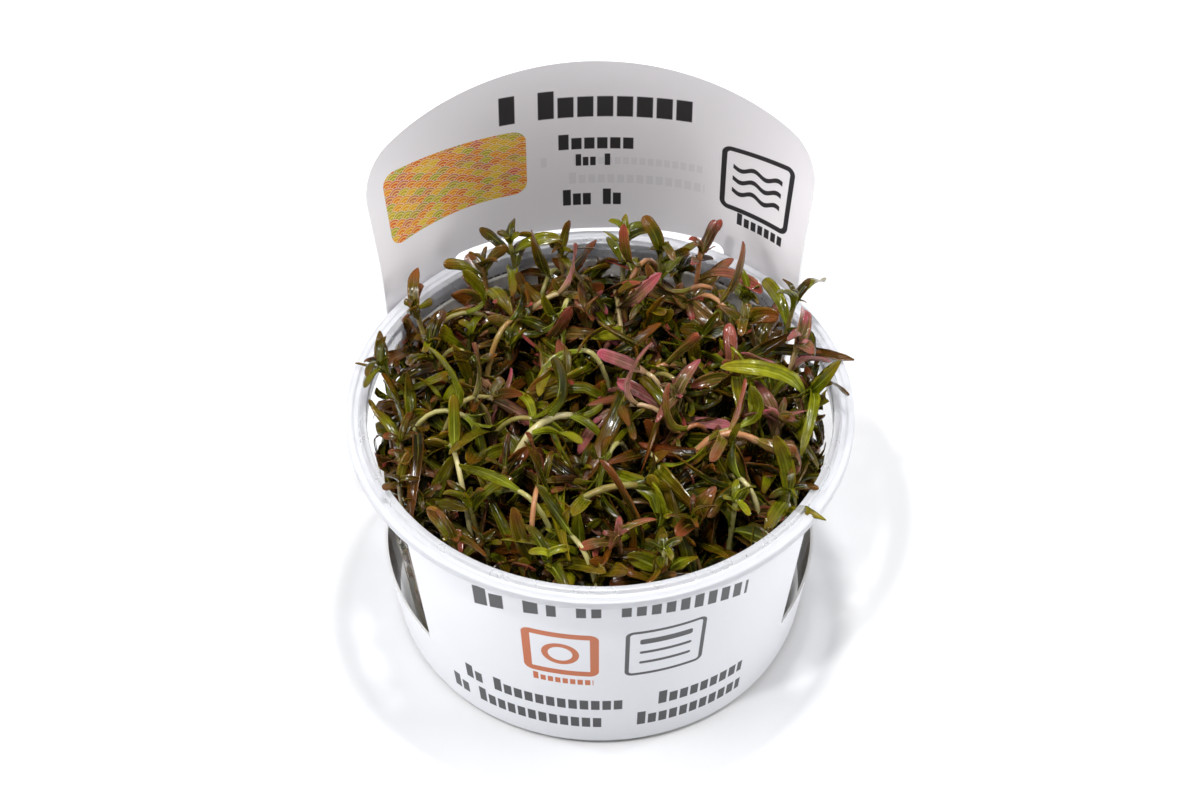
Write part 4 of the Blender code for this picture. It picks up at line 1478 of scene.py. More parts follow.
@dataclass
class Grower:
    """Fits sprigs into the cup one by one, each clear of those before it.

    The first sprigs follow the same plans and draws as the solids that they replace, so that each
    one lies where its node lies. Metres.
    """

    cup: Cup
    sprig_count: int = 56
    wall_sprig_count: int = 12
    seed: int = 71
    gel_top: float = 9.0 * MM
    fit_gap: float = 0.3 * MM
    stem_width: float = 1.3 * MM
    stem_tip_share: float = 0.7
    node_half_length: float = 0.45 * MM
    leaf_thickness: float = 0.5 * MM
    leaf_half_width: float = 1.6 * MM
    leaf_lengths: Floats = (14.0 * MM, 14.0 * MM, 12.5 * MM, 9.0 * MM)
    leaf_angles: Floats = (76.0, 72.0, 60.0, 38.0)
    bowed_sections: tuple[Pair, ...] = ((0.32, 1.0), (0.7, 0.8))
    crown_nodes: Floats = (0.7, 0.83, 0.95)
    lower_stem: Floats = (0.0, 0.28, 0.5)
    wall_nodes: Floats = (0.34, 0.56, 0.76, 0.94)
    ball_spacing: float = 1.0 * MM
    ball_share: float = 0.9
    sprig_gap: float = 0.4 * MM
    cup_gap: float = 0.4 * MM
    wall_share: float = 1.0
    press_height: float = 0.0
    press_gap: float = -3.0 * MM
    over_reach: float = 1.0
    header_half_angle: float = 60.5
    header_gap: float = 1.5 * MM
    own_gap: float = 0.15 * MM
    own_reach: float = 1.8 * MM
    retries: int = 24
    most_shrink: float = 0.5
    shrink_width: float = 0.25
    wander: float = 0.35 * MM
    aimed_tries: int = 3
    round_width: float = 1.35
    round_length: float = 0.62
    length_spread: Pair = (0.88, 1.12)
    width_spread: Pair = (0.88, 1.1)
    angle_spread: float = 12.0
    sag: Pair = (0.1, -0.45)
    side_sag: float = 0.35
    bend_share: float = 0.45
    aimed_arch: float = 0.1
    crown_low: float = 51.0 * MM
    crown_rise: float = 13.0 * MM
    crown_front: float = 42.0 * MM
    crown_depth: float = 80.0 * MM
    crown_reach: float = 41.0 * MM
    spot_tries: int = 40
    spot_squash: float = 0.93
    wall_root: float = 31.0 * MM
    wall_tips: Pair = (36.0, 38.5)
    filled: Array = field(default_factory=lambda: np.empty((0, 4)))
    tips: Curve = field(default_factory=list)

    @property
    def foot(self) -> float:
        """Height at which the stems start."""
        return self.gel_top + self.fit_gap

    def inner_radius(self, z: Array) -> Array:
        """Radius inside the cup at each height, no wider than just under the lip."""
        cup = self.cup
        rise = cup.neck_height * MM - cup.base_corner * MM
        slope = (cup.neck_radius * MM - cup.base_radius * MM) / rise
        outer = cup.base_radius * MM + slope * (z - cup.base_corner * MM)
        return np.minimum(outer, cup.neck_radius * MM) - cup.wall * MM

    def ball_chain(self, points: Curve, radii: list[float]) -> Array:
        """Closely spaced balls along a run of points, as rows of x, y, z and radius."""
        rows = []
        for start, end, first, last in zip(points, points[1:], radii, radii[1:]):
            steps = max(1, math.ceil((end - start).length / self.ball_spacing))
            for step in range(steps + 1):
                share = step / steps
                rows.append((*start.lerp(end, share), first + (last - first) * share))
        return np.array(rows)

    @staticmethod
    def apart(balls: Array, others: Array, gap: float) -> bool:
        """Whether two sets of balls keep at least a gap between them."""
        if len(balls) == 0 or len(others) == 0:
            return True
        reach = balls[:, 3].max() + others[:, 3].max() + gap
        low, high = balls[:, :3].min(axis=0) - reach, balls[:, :3].max(axis=0) + reach
        near = others[np.all((others[:, :3] > low) & (others[:, :3] < high), axis=1)]
        if len(near) == 0:
            return True
        spacing = np.linalg.norm(balls[:, None, :3] - near[None, :, :3], axis=2)
        return bool(np.all(spacing > balls[:, None, 3] + near[None, :, 3] + gap))

    @staticmethod
    def beyond(balls: Array, point: Vector, reach: float) -> Array:
        """The balls whose centres are further than reach from a point."""
        return balls[np.linalg.norm(balls[:, :3] - np.array(point), axis=1) > reach]

    def clear_of_cup(self, balls: Array, floor: float) -> bool:
        """Whether the balls stay inside the cup or above its rim, above a floor and off the header."""
        x, y, z, radius = balls.T
        gap = np.where(z < self.press_height, self.press_gap, self.cup_gap)
        reach = np.hypot(x, y) + radius * self.wall_share + gap
        inside = reach < self.inner_radius(z)
        over_rim = z - radius * self.wall_share > self.cup.height * MM + self.cup_gap
        over_rim &= reach < self.over_reach
        behind = np.degrees(np.arctan2(np.abs(x), y)) < self.header_half_angle
        off_header = ~behind | (reach < self.cup.neck_radius * MM + self.header_gap)
        return bool(np.all((inside | over_rim) & off_header & (z > floor)))

    def stem_shares(self, path: Curve, below: tuple, nodes: tuple) -> tuple[list, list]:
        """Where a stem's cross-sections lie, and which of them start a node."""
        shares = list(below)
        node_rings = []
        for node in nodes:
            half_node = self.node_half_length / heading(path, node).length
            node_rings.append(len(shares))
            shares += [node - half_node, node + half_node]
        return shares + [1.0], node_rings

    def stem_rings(self, path: Curve, shares: list[float], phase: float) -> list[StemRing]:
        """Cross-sections up a stem, turned as little as the curve allows."""
        rings = []
        for share, sides in zip(shares, frames(path, shares, level(phase))):
            half = self.stem_width * 0.5 * (1.0 + (self.stem_tip_share - 1.0) * share)
            rings.append(StemRing(along_curve(path, share), *sides, half))
        rings[-1].half *= 0.5
        return rings

    def make_leaf(
        self,
        rings: tuple[StemRing, StemRing],
        side: int,
        plan: SprigPlan,
        size: Triple,
        aim: Vector | None,
        rng: Chances,
    ) -> Leaf:
        """One leaf from a node's side, with a little chance in its lie.

        Args:
            rings: The node's lower and upper cross-sections.
            side: Which of the four sides it grows from.
            plan: The sprig's plan.
            size: Length, angle to the stem in degrees, and how much of the length is kept.
            aim: Where the tip should point, if anywhere.
            rng: Source of chance.

        Returns:
            The leaf.
        """
        ring_low, ring_high = rings
        outward = ring_low.outward(side)
        base = (ring_low.centre + ring_high.centre) * 0.5 + outward * ring_low.half
        along = (ring_high.centre - ring_low.centre).normalized()
        across = along.cross(outward).normalized()
        length, angle, shrink = size
        half_width = self.leaf_half_width
        if plan.shape is LeafShape.ROUND:
            half_width *= self.round_width
            length *= self.round_length
        length *= rng.uniform(*self.length_spread) * shrink
        turn = math.radians(angle + rng.uniform(-self.angle_spread, self.angle_spread))
        start_way = along * math.cos(turn) + outward * math.sin(turn)
        sag = UP * rng.uniform(*self.sag) + across * rng.uniform(-self.side_sag, self.side_sag)
        sag -= outward * min(sag.dot(outward), 0.0)
        end_way = (start_way + sag).normalized()
        bend = base + start_way * length * self.bend_share
        tip = bend + end_way * length * (1.0 - self.bend_share)
        if aim is not None:
            tip = base.lerp(aim, min(1.0, self.leaf_lengths[0] / (aim - base).length))
            bend = base.lerp(tip, self.bend_share) + UP * (tip - base).length * self.aimed_arch
        half_width *= (1.0 - self.shrink_width * (1.0 - shrink)) * rng.uniform(*self.width_spread)
        midrib = (tip - base).normalized()
        across = (across - midrib * across.dot(midrib)).normalized()
        return Leaf(base, bend, tip, across, half_width, plan.sections)

    def fit_leaf(
        self, sprig: Sprig, own_balls: Array, node: int, side: int, rng: Chances
    ) -> tuple[Leaf | None, Array | None]:
        """Tries a leaf until it lies clear, shorter each time.

        Args:
            sprig: The sprig so far.
            own_balls: Balls of its stem and leaves.
            node: Which node it grows from.
            side: Which side of the node.
            rng: Source of chance.

        Returns:
            The leaf and its balls, or nothing twice.
        """
        plan = sprig.plan
        low = sprig.rings[sprig.node_rings[node]]
        high = sprig.rings[sprig.node_rings[node] + 1]
        place = node + len(self.leaf_lengths) - len(plan.nodes)
        aim = None
        if plan.aim is not None and node == len(plan.nodes) - 2:
            aim = plan.aim if low.outward(side).dot(plan.aim - low.centre) > 0.0 else None
        for attempt in range(self.retries):
            shrink = 1.0 - self.most_shrink * attempt / self.retries
            size = (self.leaf_lengths[place], self.leaf_angles[place], shrink)
            target = aim if attempt < self.aimed_tries else None
            leaf = self.make_leaf((low, high), side, plan, size, target, rng)
            balls = leaf.balls(self)
            free = self.beyond(balls, leaf.base, self.own_reach)
            own = self.beyond(own_balls, leaf.base, self.own_reach)
            slim = free * np.array((1.0, 1.0, 1.0, 0.6))
            in_cup = self.clear_of_cup(balls, self.gel_top + 2.0 * self.leaf_half_width)
            is_free = in_cup and self.apart(balls, self.filled, self.sprig_gap)
            if is_free and self.apart(slim, own, self.own_gap):
                return leaf, balls
        return None, None

    def grow_sprig(self, plan: SprigPlan, rng: Chances) -> Sprig | None:
        """Grows a sprig that follows its plan as nearly as the filled space lets it.

        Args:
            plan: Where it should stand.
            rng: Source of chance.

        Returns:
            The sprig, or nothing where there is no room.
        """
        for attempt in range(self.retries):
            shift = Vector((rng.uniform(-1.0, 1.0), rng.uniform(-1.0, 1.0), 0.0)) * self.wander * attempt
            path = [plan.path[0] + shift * 0.5] + [point + shift for point in plan.path[1:]]
            phase = rng.uniform(0.0, math.pi)
            if plan.aim is not None:
                towards = plan.aim - path[-1]
                quarter = math.radians(90.0) * ((len(plan.nodes) - 1) % 2)
                phase = math.atan2(towards.y, towards.x) + quarter
            shares, node_rings = self.stem_shares(path, plan.below, plan.nodes)
            rings = self.stem_rings(path, shares, phase)
            balls = self.ball_chain([ring.centre for ring in rings], [ring.half * 1.42 for ring in rings])
            if self.clear_of_cup(balls, self.gel_top) and self.apart(balls, self.filled, self.sprig_gap):
                break
        else:
            return None
        sprig = Sprig(plan, path, rings, node_rings)
        for node in reversed(range(len(plan.nodes))):
            for side in (0, 2) if node % 2 == 0 else (1, 3):
                leaf, leaf_balls = self.fit_leaf(sprig, balls, node, side, rng)
                if leaf is not None:
                    sprig.leaves[(node, side)] = leaf
                    balls = np.vstack((balls, leaf_balls))
        self.filled = np.vstack((self.filled, balls))
        self.tips.append(plan.path[-1])
        return sprig

    def crown_height(self, y: float) -> float:
        """Height of the sprigs' tips: about the rim's in front, and higher towards the header."""
        return self.crown_low + self.crown_rise * (y + self.crown_front) / self.crown_depth

    def standing_plans(self) -> list[SprigPlan]:
        """Plans of the sprigs that stand out."""
        plans = []
        for tone, shape, path, aim in STANDING_SPRIGS:
            points = [Vector(point) * MM for point in path]
            points[0].z = self.foot
            form = (points, self.crown_nodes, self.lower_stem, self.bowed_sections)
            target = Vector(aim) * MM if aim else None
            plans.append(SprigPlan(Tone[tone.upper()], LeafShape(shape), *form, target))
        return plans

    def wall_plan(self, index: int, rng: Chances) -> SprigPlan:
        """A sprig near the cup's wall, leafy along its whole height."""
        angle = 360.0 * (index + 0.5) / self.wall_sprig_count + rng.uniform(-8.0, 8.0)
        way = bearing(math.radians(angle))
        root = way * self.wall_root + UP * self.foot
        tip = way * rng.uniform(*self.wall_tips) * MM
        tip.z = self.crown_height(tip.y) - 5.0 * MM
        middle = root.lerp(tip, 0.5) + way * (2.0 * MM)
        return long_sprig(FILL_TONES, index, [root, middle, tip], self.wall_nodes)

    def barest_spot(self, reach: float, rng: Chances) -> Vector:
        """The spot furthest from every tip so far, out of some drawn by chance."""
        spots = []
        for _ in range(self.spot_tries):
            out = reach * math.sqrt(rng.random())
            turn = rng.uniform(0.0, math.tau)
            spots.append(Vector((math.cos(turn), math.sin(turn) * self.spot_squash)) * out)
        return max(spots, key=lambda spot: min((spot - tip.to_2d()).length for tip in self.tips))

    def crown_plan(self, index: int, rng: Chances) -> SprigPlan:
        """A sprig whose tip comes up where the crown is barest."""
        spot = self.barest_spot(self.crown_reach, rng)
        tip = Vector((spot.x, spot.y, self.crown_height(spot.y) + rng.uniform(-3.0 * MM, 1.5 * MM)))
        root = Vector((spot.x * 0.75, spot.y * 0.75, self.foot))
        lean = Vector((rng.uniform(-6.0, 6.0), rng.uniform(-6.0, 6.0), 22.0)) * MM
        path = [root, root + UP * (20.0 * MM), tip - lean, tip]
        return long_sprig(FILL_TONES, index, path, self.crown_nodes)

    def grow_main(self) -> list[Sprig]:
        """The sprigs that replace the solids: those that stand out, by the wall, then the crown.

        Returns:
            The sprigs in the order of their nodes.
        """
        sprigs: list[Sprig] = []
        standing = self.standing_plans()
        index = 0
        while len(sprigs) < self.sprig_count:
            rng = Chances(self.seed + index)
            if index < len(standing):
                plan = standing[index]
            elif index < len(standing) + self.wall_sprig_count:
                plan = self.wall_plan(index - len(standing), rng)
            else:
                plan = self.crown_plan(index, rng)
            index += 1
            sprig = self.grow_sprig(plan, rng)
            if sprig is not None:
                sprigs.append(sprig)
        return sprigs


@dataclass(frozen=True)
class Layer:
    """A layer of undergrowth: how far its tips lie below the crown, and how many sprigs it has."""

    depth: float
    count: int
    reach: float


@dataclass
class UndergrowthGrower(Grower):
    """Adds the many smaller sprigs that fill the cup between the main ones.

    Less than no gap lets leaves touch. Metres.
    """

    seed: int = 500
    stem_width: float = 0.9 * MM
    wall_nodes: Floats = (0.2, 0.46, 0.72, 0.94)
    ball_share: float = 0.32
    wall_share: float = 2.8
    press_height: float = 53.0 * MM
    over_reach: float = 43.5 * MM
    own_gap: float = -0.3 * MM
    retries: int = 12
    most_shrink: float = 0.25
    wander: float = 0.7 * MM
    layers: tuple[Layer, ...] = (
        Layer(4.5 * MM, 46, 42.0 * MM),
        Layer(9.0 * MM, 66, 43.0 * MM),
        Layer(14.0 * MM, 84, 43.0 * MM),
    )
    wall_count: int = 110
    shoot_count: int = 28
    layer_nodes: Floats = (0.54, 0.69, 0.83, 0.95)
    shoot_nodes: Floats = (0.82, 0.95)
    opening: Pair = (58.0, 128.0)
    wall_roots: Pair = (31.0, 37.5)
    wall_tips: Pair = (36.0, 42.5)
    wall_tip_heights: Pair = (28.0, 57.0)
    layer_spans: Pair = (2.0, 15.0)
    shoot_reach: float = 33.0 * MM
    shoot_spans: Pair = (11.0, 22.0)
    shoot_arches: Pair = (7.0, 13.0)
    index: int = 0
    sprigs: list[Sprig] = field(default_factory=list)

    def wall_plan(self, index: int, rng: Chances) -> SprigPlan:
        """A sprig close to the wall where the card leaves the cup bare."""
        side = 1.0 if index % 2 == 0 else -1.0
        way = bearing(math.radians(rng.uniform(*self.opening)) * side)
        root = way * rng.uniform(*self.wall_roots) * MM + UP * self.foot
        tip = way * rng.uniform(*self.wall_tips) * MM
        tip.z = rng.uniform(*self.wall_tip_heights) * MM
        middle = root.lerp(tip, 0.5) + way * rng.uniform(0.0, 2.5) * MM
        return long_sprig(UNDERGROWTH_TONES, index, [root, middle, tip], self.wall_nodes)

    @staticmethod
    def relief(spot: Vector) -> float:
        """How far the crown rises in clumps and sinks in hollows at a spot."""
        x, y = spot.x / MM, spot.y / MM
        clumps = math.sin(x / 6.3 + 1.3) * math.cos(y / 7.1 - 0.6) + 0.6 * math.sin((x + y) / 4.6)
        edge = max(math.hypot(x, y) - 31.0, 0.0) * smooth_step((y - 12.0) / 10.0)
        return (2.3 * clumps + 0.05 * x - 1.1 * edge) * MM

    def layer_plan(self, layer: Layer, index: int, rng: Chances) -> SprigPlan:
        """A sprig that bends over under the crown, with its tip in one of the layer's gaps."""
        spot = self.barest_spot(layer.reach, rng)
        way = level(rng.uniform(0.0, math.tau)) * rng.uniform(*self.layer_spans) * MM
        crown = self.crown_height(spot.y) + self.relief(spot)
        tip = Vector((spot.x, spot.y, crown - layer.depth - rng.uniform(0.0, 3.0) * MM))
        root = (tip - way * 1.2) * 0.78
        root.z = self.foot
        shoulder = tip - way * 0.55 + UP * rng.uniform(-4.0, 2.5) * MM
        path = [root, root.lerp(tip - way, 0.5), shoulder, tip]
        return long_sprig(UNDERGROWTH_TONES, index, path, self.layer_nodes)

    def shoot_plan(self, index: int, rng: Chances) -> SprigPlan:
        """A thin young shoot that arches over the crown."""
        spot = self.barest_spot(self.shoot_reach, rng)
        way = level(rng.uniform(0.0, math.tau)) * rng.uniform(*self.shoot_spans) * MM
        tip = Vector((spot.x, spot.y, self.crown_height(spot.y) + rng.uniform(-3.0, 1.0) * MM))
        root = (tip - way) * 0.9
        root.z = self.foot
        rise = tip - way + UP * rng.uniform(-3.0, 2.0) * MM
        crest = tip - way * 0.5 + UP * rng.uniform(*self.shoot_arches) * MM
        return long_sprig(SHOOT_TONES, index, [root, rise, crest, tip], self.shoot_nodes)

    def shape_leaves(self, lengths: Floats, half_width: float, gap: float) -> None:
        """Sets the leaves' lengths by node and half width, and the gap between sprigs. Millimetres."""
        self.leaf_lengths = tuple(length * MM for length in lengths)
        self.leaf_half_width = half_width * MM
        self.sprig_gap = gap * MM

    def fill(self, count: int, plan: Callable[[int, Chances], SprigPlan]) -> None:
        """Grows a number of sprigs of one kind where there is room.

        Args:
            count: How many to try.
            plan: Makes a sprig's plan from its number and source of chance.
        """
        for _ in range(count):
            rng = Chances(self.seed + self.index)
            sprig = self.grow_sprig(plan(self.index, rng), rng)
            self.sprigs += [sprig] if sprig is not None else []
            self.index += 1

    def grow(self) -> list[Sprig]:
        """Grows them in whatever room is left.

        Returns:
            The sprigs.
        """
        self.shape_leaves((19.0, 19.0, 18.0, 14.0), 1.75, -0.45)
        for layer in self.layers:
            self.fill(layer.count, partial(self.layer_plan, layer))
            self.tips = self.tips[-1:]
        self.shape_leaves((13.0, 13.0, 12.0, 10.0), 1.4, -0.9)
        self.fill(self.shoot_count, self.shoot_plan)
        self.shape_leaves((16.0, 16.0, 14.5, 11.0), 1.8, -0.45)
        self.fill(self.wall_count, self.wall_plan)
        return self.sprigs


@dataclass
class SprigSkin:
    """Turns grown sprigs into fine closed meshes. Metres, degrees."""

    grower: Grower
    stations: int = 13
    stem_sides: int = 10
    stem_stations: int = 30
    top_places: Floats = (-1.0, -0.68, -0.34, 0.0, 0.34, 0.68, 1.0)
    under_places: Floats = (0.72, 0.36, 0.0, -0.36, -0.72)
    slimness: float = 0.96
    bow: float = 0.3
    curl: float = 0.42
    sway: float = 0.2
    twist: float = 80.0
    lean: Pair = (-0.2, 1.0)
    folds: Pair = (0.15, 1.05)
    back_folds: Pair = (-0.7, -0.2)
    folded_share: float = 0.72
    fold_ease: float = 0.45
    width_spread: Pair = (0.8, 1.08)
    wave: float = 0.16
    wave_turns: Pair = (7.0, 13.0)
    bud_leaves: int = 4
    bud_lengths: Pair = (4.0, 7.5)
    bud_spreads: Pair = (18.0, 50.0)
    bud_half_widths: Pair = (0.7, 1.1)
    node_swelling: float = 0.22
    stem_taper: float = 0.32
    blade_thickness: float = 0.3 * MM
    rib_thickness: float = 0.25 * MM
    wall_gap: float = 0.25 * MM
    rim_gap: float = 0.25 * MM
    rim_band: float = 1.6 * MM
    ease_depth: float = 1.2 * MM
    header_half_angle: float = 60.0
    header_radius: float = 48.2 * MM
    # Painted shade: how far under the crown a leaf's tip lies when it is darkest, and how much of its
    # chance it then loses.
    dark_depth: float = 7.5 * MM
    dark_share: float = 0.92

    @staticmethod
    def outline(shares: Array, shape: LeafShape, point: float) -> Array:
        """Half width of the blade along its length, as a share of the widest.

        Args:
            shares: Places along the leaf.
            shape: The leaf's kind.
            point: How pointed the tip is, from 0 for blunt to 1.

        Returns:
            The width at each place.
        """
        widest, foot, shoulder = (0.55, 0.24, 0.58)
        if shape is LeafShape.LONG:
            widest, foot, shoulder = (0.42, 0.4, 0.84 - 0.34 * point)
        rise = np.clip(shares / widest, 0.0, 1.0)
        rise = foot + (1.0 - foot) * rise * rise * (3.0 - 2.0 * rise)
        beyond = np.clip((shares - shoulder) / (1.0 - shoulder), 0.0, 1.0)
        return rise * np.sqrt(np.maximum(1.0 - beyond ** (2.2 - 0.8 * point), 0.0))

    def held(self, points: Array) -> Array:
        """Keeps points inside the cup's wall, or above its rim, without folding a skin over.

        Args:
            points: Points in any arrangement, with x, y and z last.

        Returns:
            The same points, eased away from the plastic and the header.
        """
        x, y, z = points[..., 0], points[..., 1], points[..., 2]
        reach = np.hypot(x, y)
        rim = self.grower.cup.height * MM + self.rim_gap
        wall = self.grower.inner_radius(z) - self.wall_gap
        over = (z > rim - self.rim_band) & (reach > wall - self.wall_gap)
        height = np.where(over, self.eased_above(z, rim), z)
        behind = np.degrees(np.arctan2(np.abs(x), y)) < self.header_half_angle
        open_reach = np.where(behind, self.header_radius, np.inf)
        limit = np.where(height >= rim, open_reach, wall)
        start = limit - self.ease_depth
        pressed = limit - self.ease_depth * np.exp(np.minimum(start - reach, 0.0) / self.ease_depth)
        scale = np.where(reach > start, pressed / np.maximum(reach, MM), 1.0)
        return np.stack((x * scale, y * scale, height), axis=-1)

    def eased_above(self, z: Array, floor: float) -> Array:
        """Heights eased so that none is under a floor."""
        depth = self.ease_depth
        return np.where(z < floor + depth, floor + depth * np.exp((z - floor - depth) / depth), z)

    def depth_share(self, point: Vector) -> float:
        """How deep in the cup a point lies, from 0 at the crown to 1; it sets how much painted shade a
        leaf there gets.
        """
        return smooth_step((self.grower.crown_height(point.y) - point.z) / self.dark_depth)

    def add_leaf(self, store: MeshStore, leaf: Leaf, shape: LeafShape, chances: Chances) -> None:
        """Adds one blade: bowed along its length, hooked at the tip and channelled across.

        Args:
            store: The mesh so far.
            leaf: The leaf's curve and width.
            shape: The leaf's kind.
            chances: Source of chance.
        """
        shares = np.sin(np.linspace(0.0, 0.96, self.stations) * math.pi / 2.0) ** 1.15
        base = np.array(leaf.base - (leaf.bend - leaf.base).normalized() * 0.45 * MM)
        bend, tip = np.array(leaf.bend), np.array(leaf.tip)
        share = shares[:, None]
        centre = base * (1.0 - share) ** 2 + bend * 2.0 * share * (1.0 - share) + tip * share**2
        across, upward = self.turned_frame(np.array(leaf.across), centre)
        length = (leaf.tip - leaf.base).length
        bow = chances.uniform(*self.lean) * self.bow * length
        curl = chances.uniform(*self.lean) * self.curl * length
        sway = chances.uniform(-1.0, 1.0) * self.sway * length
        lift = bow * 4.0 * shares * (1.0 - shares) - curl * shares**2.2
        centre = centre + upward * lift[:, None] + across * (sway * shares**2)[:, None]
        across, upward = self.turned_frame(np.array(leaf.across), centre)
        twist = math.radians(chances.uniform(-1.0, 1.0) * self.twist) * share**1.4
        across, upward = (
            across * np.cos(twist) + upward * np.sin(twist),
            upward * np.cos(twist) - across * np.sin(twist),
        )
        point = chances.random() ** 3
        folds = self.folds if chances.random() < self.folded_share else self.back_folds
        fold = chances.uniform(*folds) * (1.0 - self.fold_ease * shares)
        width = leaf.half_width * self.slimness * chances.uniform(*self.width_spread)
        half = width * self.outline(shares, shape, point) / np.sqrt(1.0 + fold**2 * 0.6)
        wave_phase = chances.uniform(0.0, math.tau)
        wave = np.sin(shares * chances.uniform(*self.wave_turns) + wave_phase)
        wave = self.wave * wave * np.sin(shares * math.pi)
        rows = []
        for places, under in ((self.top_places, 0.0), (self.under_places, 1.0)):
            for place in places:
                out = abs(place)
                rise = half * (fold * out**1.6 + wave * out**2 * (1.0 if place > 0.0 else -1.0))
                thick = self.blade_thickness * (1.0 - out**2)
                thick += self.rib_thickness * max(0.0, 1.0 - out * 5.0)
                rise = rise - under * thick * (1.0 - 0.6 * shares)
                groove = 0.05 * MM * max(0.0, 1.0 - out * 3.0) * (1.0 - under)
                rows.append(centre + across * (half * place)[:, None] + upward * (rise - groove)[:, None])
        # Painted shade: the deeper a leaf's tip lies under the crown, the lower its first chance, which
        # picks a darker shade on its finish's ramp.
        light = 1.0 - self.dark_share * self.depth_share(leaf.tip)
        aside = np.abs(self.top_places + self.under_places)
        growth = (shares, aside, (chances.random() * light, chances.random()))
        end = centre[-1] + (centre[-1] - centre[-2]) * 0.02
        store.add_skin(self.held(np.stack(rows, axis=1)), self.held(end), growth, Plant.LEAF)

    @staticmethod
    def turned_frame(side: Array, centre: Array) -> tuple[Array, Array]:
        """Directions across and up from a leaf's centre line.

        Args:
            side: The leaf's own direction across.
            centre: Points along the line.

        Returns:
            The direction across and the direction up at each point.
        """
        ahead = np.gradient(centre, axis=0)
        ahead /= np.linalg.norm(ahead, axis=1)[:, None]
        across = side[None] - ahead * (ahead @ side)[:, None]
        across /= np.linalg.norm(across, axis=1)[:, None]
        return across, np.cross(ahead, across)

    def add_stem(self, store: MeshStore, sprig: Sprig, width: float, chances: Chances) -> None:
        """Adds the stem, a little swollen at its nodes.

        Args:
            store: The mesh so far.
            sprig: The grown sprig.
            width: The stem's width at its root.
            chances: Source of chance.
        """
        path = sprig.path
        turns = np.linspace(0.0, math.tau, self.stem_sides, endpoint=False)
        rings = []
        shares = np.linspace(0.0, 1.0, self.stem_stations)
        places = shares.tolist()
        for share, sides in zip(places, frames(path, places, sprig.rings[0].first)):
            radius = width * 0.5 * (1.0 - self.stem_taper * share)
            for node in sprig.plan.nodes:
                radius *= 1.0 + self.node_swelling * math.exp(-(((share - node) * 45.0) ** 2))
            first, second = (np.array(side) for side in sides)
            circle = np.outer(np.cos(turns), first) + np.outer(np.sin(turns), second)
            rings.append(np.array(along_curve(path, share)) + circle * radius)
        growth = (shares, np.abs(np.sin(turns)), (chances.random(), chances.random()))
        end = np.array(path[-1] + heading(path, 1.0).normalized() * 0.4 * MM)
        store.add_skin(self.held(np.stack(rings)), end, growth, Plant.STEM)

    def add_bud(self, store: MeshStore, sprig: Sprig, chances: Chances) -> None:
        """Adds the small young leaves at the tip.

        Args:
            store: The mesh so far.
            sprig: The grown sprig.
            chances: Source of chance.
        """
        ring = sprig.rings[-1]
        tip = sprig.path[-1]
        along = heading(sprig.path, 1.0).normalized()
        start = chances.uniform(0.0, math.tau)
        for index in range(self.bud_leaves):
            turn = start + math.tau * index / self.bud_leaves
            outward = ring.first * math.cos(turn) + ring.second * math.sin(turn)
            length = chances.uniform(*self.bud_lengths) * MM * (1.0 if index % 2 == 0 else 0.7)
            spread = math.radians(chances.uniform(*self.bud_spreads))
            way = along * math.cos(spread) + outward * math.sin(spread)
            base = tip - along * 0.3 * MM
            leaf = Leaf(
                base,
                base + way * length * 0.5,
                base + (way * 0.5 + (way + outward * 0.5).normalized() * 0.5) * length,
                along.cross(outward).normalized(),
                chances.uniform(*self.bud_half_widths) * MM,
                (),
            )
            self.add_leaf(store, leaf, LeafShape.LONG, chances)

    def add_sprig(self, store: MeshStore, sprig: Sprig, width: float, chances: Chances) -> None:
        """Adds a whole sprig: stem, leaves and bud."""
        self.add_stem(store, sprig, width, chances)
        for leaf in sprig.leaves.values():
            self.add_leaf(store, leaf, sprig.plan.shape, chances)
        self.add_bud(store, sprig, chances)


LEAF_FINISHES = {
    Tone.OLIVE: LeafFinish(
        "wet olive leaf",
        ((0.008, 0.006, 0.0), (0.036, 0.037, 0.0), (0.066, 0.065, 0.001), (0.15, 0.16, 0.002)),
        tip=(0.17, 0.042, 0.004),
        tip_share=0.7,
        midrib=(0.19, 0.18, 0.018),
        foot=(0.11, 0.135, 0.005),
    ),
    Tone.BROWN: LeafFinish(
        "wet brown leaf",
        ((0.011, 0.006, 0.0), (0.056, 0.036, 0.001), (0.082, 0.066, 0.001), (0.13, 0.125, 0.002)),
        tip=(0.2, 0.04, 0.01),
        tip_share=0.75,
        midrib=(0.22, 0.17, 0.022),
        foot=(0.115, 0.135, 0.006),
    ),
    Tone.RED: LeafFinish(
        "wet red leaf",
        ((0.03, 0.018, 0.003), (0.11, 0.045, 0.012), (0.1, 0.085, 0.006), (0.24, 0.055, 0.05)),
        tip=(0.3, 0.038, 0.034),
        tip_share=0.85,
        midrib=(0.28, 0.15, 0.045),
        foot=(0.14, 0.14, 0.01),
    ),
    Tone.PINK: LeafFinish(
        "wet pink leaf",
        ((0.07, 0.06, 0.008), (0.22, 0.085, 0.06), (0.32, 0.09, 0.105), (0.38, 0.15, 0.15)),
        tip=(0.37, 0.036, 0.085),
        tip_share=0.8,
        midrib=(0.43, 0.27, 0.19),
        foot=(0.26, 0.23, 0.06),
    ),
    Tone.LIME: LeafFinish(
        "wet lime leaf",
        ((0.022, 0.025, 0.001), (0.085, 0.092, 0.001), (0.15, 0.16, 0.002), (0.27, 0.28, 0.008)),
        tip=(0.24, 0.12, 0.008),
        tip_share=0.55,
        midrib=(0.35, 0.38, 0.06),
        foot=(0.23, 0.27, 0.018),
    ),
}
